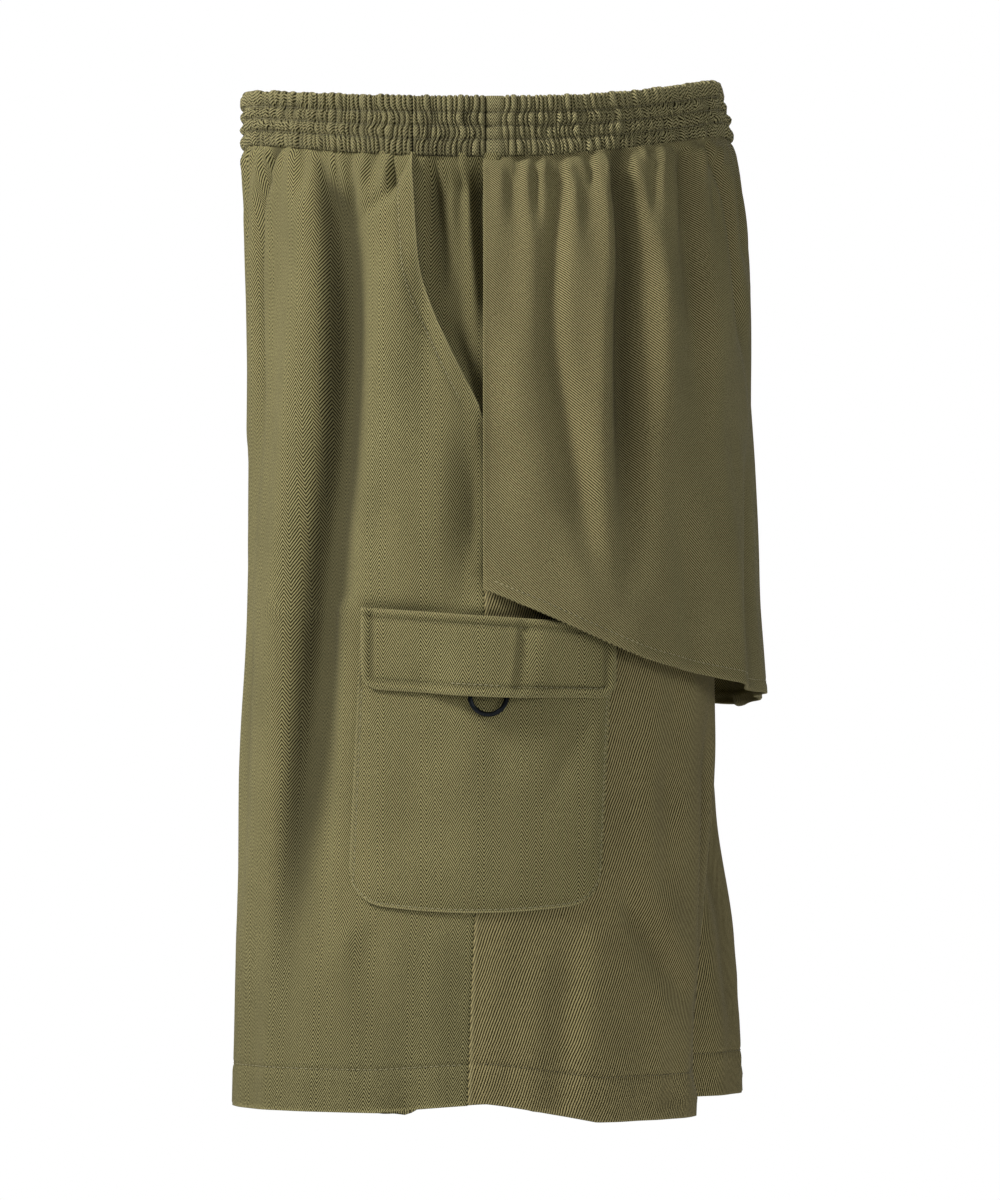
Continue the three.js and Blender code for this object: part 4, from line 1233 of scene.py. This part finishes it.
def pocketEdges(t):
    return mix(pocket["frontTop"], pocket["frontFoot"], t), mix(pocket["backTop"], pocket["backFoot"], t)


def pocketFoot(s):
    # the lower edge bows down between its rounded corners
    bow = pocket["bow"] * (2 * s - 1) ** 2
    return pocket["footZ"] + bow + cornerLift(pocket["corner"], np.minimum(s, 1 - s) * pocket["footLength"])


def pocketOut(side, y, z):
    t = (pocket["topZ"] - z) / (pocket["topZ"] - pocket["footZ"])
    start, end = pocketEdges(t)
    s = (y - start) / (end - start)
    rim = np.minimum(np.minimum(y - start, end - y), z - pocketFoot(np.clip(s, 0, 1)))
    across = (y - pocket["bulgeFront"]) / (pocket["bulgeBack"] - pocket["bulgeFront"])
    round_ = np.sin(math.pi * np.clip(across, 0, 1))
    swell = smooth(-330 - z, 0, 30) * smooth(z - pocket["footZ"], 0, 30)
    out = (pocket["edge"] + (pocket["rise"] - pocket["edge"]) * smooth(rim, 0.6, 9)
           + pocket["bulge"] * round_ * swell)
    relief = creaseRelief(creasesOf(pocket, side, 31), y, z) + drape(y, z, 33 + side, pocket["drape"])
    out = out + relief * smooth(rim, 0, 12) + 0.4 * hump(rim / 0.8)
    out = out - 0.4 * hump((rim - pocket["stitchInset"]) / 0.8)
    out = out + 0.22 * pucker(y + z, 35 + side) * hump((rim - 4) / 4)
    return out, rim


def pocketPanel(side):
    def placeAt(s, t):
        foot = pocketFoot(s)
        z = mix(pocket["topZ"], foot, t)
        start, end = pocketEdges(t)
        y = mix(start, end, s)
        out, rim = pocketOut(side, y, z)
        points, _ = patchPlace(side, y, z, out)
        return points, np.stack([y * side, z], axis=-1), 0.75 * hump(rim / 1.2), None

    name = "cargo_pocket_" + sideName(side)
    piece = clothPiece(name, spaced(pocket["length"], pocket["step"]),
                       spaced(pocket["height"], pocket["step"], False, True), placeAt, pocket, frontCloth,
                       reverse=side < 0)
    return declared(piece, name)


def flapOut(side, y, z, t, rim):
    top = flap["topFront"] - 6
    down = np.clip((top - z) / (top - ring["barZ"]), 0, 1.1)
    beside = np.clip((np.abs(y - ring["y"]) - 10.5) / 26, 0, 1)
    out = flap["rise"] - 0.5 * smooth(1 - t, 0.75, 1) + flap["over"] * down ** 1.4 * (1 - smooth(beside))
    relief = creaseRelief(creasesOf(flap, side, 37), y, z) + drape(y, z, 39 + side, flap["drape"])
    out = out + relief * smooth(rim, -2, 8) - 1.2 * hump((rim - flap["hem"]) / 1.0)
    out = out + 0.9 * hump((rim - 2.2) / 2.0)
    below = t * flap["height"]
    out = out - 1.2 * hump((below - flap["hem"]) / 1.0) + 0.9 * hump((below - 2.2) / 2.0)
    return out + 0.25 * pucker(y + 0.6 * z, 43 + side) * hump((rim - 3) / 3.5)


def flapPlace(s, t):
    lift = cornerLift(flap["corner"], np.minimum(s, 1 - s) * (flap["back"] - flap["front"]))
    foot = mix(flap["footFront"], flap["footBack"], s)
    y = mix(flap["front"], flap["back"], s)
    # the lower edge dips a little in the middle of the flap
    foot = foot - 1.0 * np.sin(math.pi * s) ** 2 + lift
    z = mix(mix(flap["topFront"], flap["topBack"], s), foot, t)
    rim = np.minimum(np.minimum(y - flap["front"], flap["back"] - y), z - foot)
    return y, z, rim


def flapPanel(side):
    def placeAt(s, t):
        y, z, rim = flapPlace(s, t)
        points, _ = patchPlace(side, y, z, flapOut(side, y, z, t, rim))
        below = t * flap["height"]
        wearAndShade = 0.7 * hump(rim / 1.2) + 0.6 * hump(below / 1.2)
        # painted shade along the stitched grooves inside the flap's edges
        wearAndShade = wearAndShade - 0.7 * np.maximum(hump((rim - flap["hem"]) / 0.9), hump((below - flap["hem"]) / 0.9))
        return points, np.stack([y * side, z], axis=-1), wearAndShade, None

    name = "cargo_flap_" + sideName(side)
    piece = clothPiece(name, spaced(flap["length"], flap["step"]),
                       spaced(flap["meshHeight"], flap["step"], False, True), placeAt, flap, frontCloth,
                       reverse=side < 0)
    return declared(piece, name)


pocketPanels = {side: pocketPanel(side) for side in (1, -1)}
flapPanels = {side: flapPanel(side) for side in (1, -1)}
print("cargo pockets made")


# D-rings on their tapes, under the flaps' lower edges

tape = {
    "wall": 0.7, "width": 15, "clearance": 0.45, "thickness": 1.0, "height": 13, "lean": -0.8, "neck": 5.5,
}
barX = float(patchPlace(1, np.array([ring["y"]]), np.array([float(ring["barZ"])]), [ring["barOut"]])[0][0, 0])


def dRing(side):
    radius = (ring["width"] - ring["wire"]) / 2
    corner = ring["corner"]
    path = [(radius * math.cos(turn), radius * math.sin(turn)) for turn in np.linspace(-math.pi, -0.02, 40)]
    path += [(radius - corner + corner * math.cos(turn), -corner + corner * math.sin(turn) + corner)
             for turn in np.linspace(0.1, math.pi / 2, 8)]
    path += [(-radius + corner + corner * math.cos(turn), corner * math.sin(turn))
             for turn in np.linspace(math.pi / 2, math.pi - 0.1, 8)]
    path = [(y, min(z, 0.0) if abs(y) > radius else z) for y, z in path]
    wire = bpy.data.curves.new("wire", "CURVE")
    wire.dimensions = "3D"
    wire.bevel_depth = ring["wire"] / 2000
    wire.bevel_resolution = 5
    line = wire.splines.new("POLY")
    line.points.add(len(path) - 1)
    for point, (y, z) in zip(line.points, path):
        point.co = (side * barX / 1000, (ring["y"] + y) / 1000, (ring["barZ"] + z - corner) / 1000, 1)
    line.use_cyclic_u = True
    shaped = bpy.data.objects.new("wire", wire)
    mesh = bpy.data.meshes.new_from_object(shaped)
    bpy.data.objects.remove(shaped)
    mesh.shade_smooth()
    mesh.materials.clear()
    mesh.materials.append(gunmetal)
    name = "d_ring_" + sideName(side)
    piece = bpy.data.objects.new(name + "_wire", mesh)
    scene.collection.objects.link(piece)
    return declared(piece, name, "ring_" + sideName(side))


# the tape runs down behind the bar, round it and up in front of it
def ringTape(side):
    radius = ring["wire"] / 2 + tape["clearance"] + 0.15
    lean = tape["lean"]
    back = [(lean - 0.45, tape["height"]), (lean - 0.45, tape["neck"] + 2), (-radius * 0.8, 2.6)]
    turns = np.linspace(math.pi, 2 * math.pi, 15)
    round_ = [(radius * math.cos(turn), radius * math.sin(turn)) for turn in turns]
    ahead = [(radius * 0.75, 2.6), (lean + 0.75, tape["neck"] + 2), (lean + 0.75, tape["height"])]
    path = np.array(back + round_ + ahead)
    far = np.concatenate([[0], np.cumsum(np.hypot(*np.diff(path, axis=0).T))])

    def placeAt(s, t):
        place = (1 - t) * far[-1]
        x = np.interp(place, far, path[:, 0]) + barX
        z = np.interp(place, far, path[:, 1]) + ring["barZ"]
        y = ring["y"] + tape["width"] * (s - 0.5)
        points = np.stack([x * side, y, z], axis=-1)
        return points, np.stack([y, place], axis=-1), np.zeros(len(s)), None

    name = "ring_tape_" + sideName(side)
    piece = clothPiece(name, np.linspace(0, 1, 13), np.linspace(0, 1, 41), placeAt, tape, tapeCloth,
                       reverse=side < 0)
    return declared(piece, name)


rings = {side: dRing(side) for side in (1, -1)}
ringTapes = {side: ringTape(side) for side in (1, -1)}
print("rings and tapes made")


# Stitches

sewing = {"lift": 0.3, "flapDepth": 42, "flapWidth": 135, "hemZ": float(fit["legHemZ"] + fit["hemHeight"])}
bandLook = {"length": 1.7, "gap": 0.9, "width": 0.4, "height": 0.34}
tackLook = {"length": 2.5, "gap": 0.5, "width": 0.62, "height": 0.5}


def mouthLine(side):
    z = np.linspace(-19, -152, 240)
    points, normals, _, _ = frontPlace(side, mouthArc(z) - front["mouthHem"], z, sewing["lift"])
    return points, normals


def frontHemLine(side):
    a = np.linspace(float(arcAt(bodyArcs, 0.0, sewing["hemZ"])) + 3, -3, 500)
    points, normals, _, _ = frontPlace(side, a, np.full(a.shape, sewing["hemZ"]), sewing["lift"])
    return points, normals


def backHemLine(side):
    u = np.linspace(2.02, 3.98, 600)
    row = np.full(u.shape, sewing["hemZ"])
    points, normals, _, _ = backLegPlace(side, u, backLegHeight(u, row), row, sewing["lift"])
    return points, normals


def seatHemLine(side):
    u = np.linspace(2.02, 4.0, 500)
    top, foot = seatHeights(u, side)
    points, normals, _, _ = seatPlace(side, u, foot + seat["hem"], top, foot, sewing["lift"])
    return points, normals


# down one edge of the pocket, along its foot and up the other edge
def pocketLine(side):
    inset = pocket["stitchInset"]
    down = np.linspace(0.2, 0.87, 130)
    start, end = pocketEdges(down)
    height = mix(pocket["topZ"], pocket["footZ"], down)
    share = inset / pocket["footLength"]
    s = np.linspace(share, 1 - share, 260)
    footStart, footEnd = pocketEdges(1.0)
    y = np.concatenate([start + inset, mix(footStart, footEnd, s), (end - inset)[::-1]])
    z = np.concatenate([height, pocketFoot(s) + inset, height[::-1]])
    out, _ = pocketOut(side, y, z)
    return patchPlace(side, y, z, out + sewing["lift"])


def flapLine(side, s, t):
    y, z, rim = flapPlace(s, t)
    return patchPlace(side, y, z, flapOut(side, y, z, t, rim) + sewing["lift"])


def flapLines(side):
    s, t = flap["hem"] / sewing["flapWidth"], flap["hem"] / sewing["flapDepth"]
    along, down = np.linspace(s, 1 - s, 300), np.linspace(t, 1 - t, 90)
    return [flapLine(side, np.full(down.shape, s), down), flapLine(side, along, np.full(along.shape, 1 - t)),
            flapLine(side, np.full(down.shape, 1 - s), down), flapLine(side, along, np.full(along.shape, t))]


def tackLine(side):
    along = np.linspace(0.35, 0.56, 80)
    return flapLine(side, along, np.full(along.shape, 1 - (flap["hem"] + 0.9) / sewing["flapDepth"]))


def bandLines(part, side):
    count = len(gathers[part, side]) - 1
    g = np.linspace(0.05, count - 0.05, count * 9)
    lines = []
    for share in band["rows"][1:4]:
        points, normal, _, _, _ = bandPlace(part, side, g, np.full(g.shape, share), sewing["lift"])
        lines.append((toSide(points, side), normal * [side, 1, 1]))
    return lines


def sewLines(name, lines, material=paleThread, look=stitchLook):
    beads = [bead for points, normals in lines for bead in sewAlong(points, normals, look)]
    piece = stitchPiece(name, beads, material, look)
    return piece


frontStitches, legStitches, pocketStitches, flapStitches, hipStitches = {}, {}, {}, {}, {}
for sewnSide in (1, -1):
    word = sideName(sewnSide)
    frontStitches[sewnSide] = sewLines("front_stitches_" + word,
                                       [mouthLine(sewnSide), frontHemLine(sewnSide)])
    legStitches[sewnSide] = sewLines("back_leg_stitches_" + word, [backHemLine(sewnSide)],
                                     deepThread)
    pocketStitches[sewnSide] = sewLines("pocket_stitches_" + word, [pocketLine(sewnSide)])
    flapStitches[sewnSide] = [
        sewLines("flap_stitches_" + word, flapLines(sewnSide)),
        sewLines("ring_stitches_" + word, [tackLine(sewnSide)], paleThread, tackLook)]
    hipStitches[sewnSide] = sewLines("hip_band_stitches_" + word, bandLines("hip", sewnSide),
                                     paleThread, bandLook)
seatStitches = sewLines("seat_stitches", [seatHemLine(1), seatHemLine(-1)])
frontBandStitches = sewLines("front_band_stitches", bandLines("front", 1) + bandLines("front", -1),
                             paleThread, bandLook)
backBandStitches = sewLines("back_band_stitches", bandLines("back", 1) + bandLines("back", -1),
                            paleThread, bandLook)
print("stitches sewn")
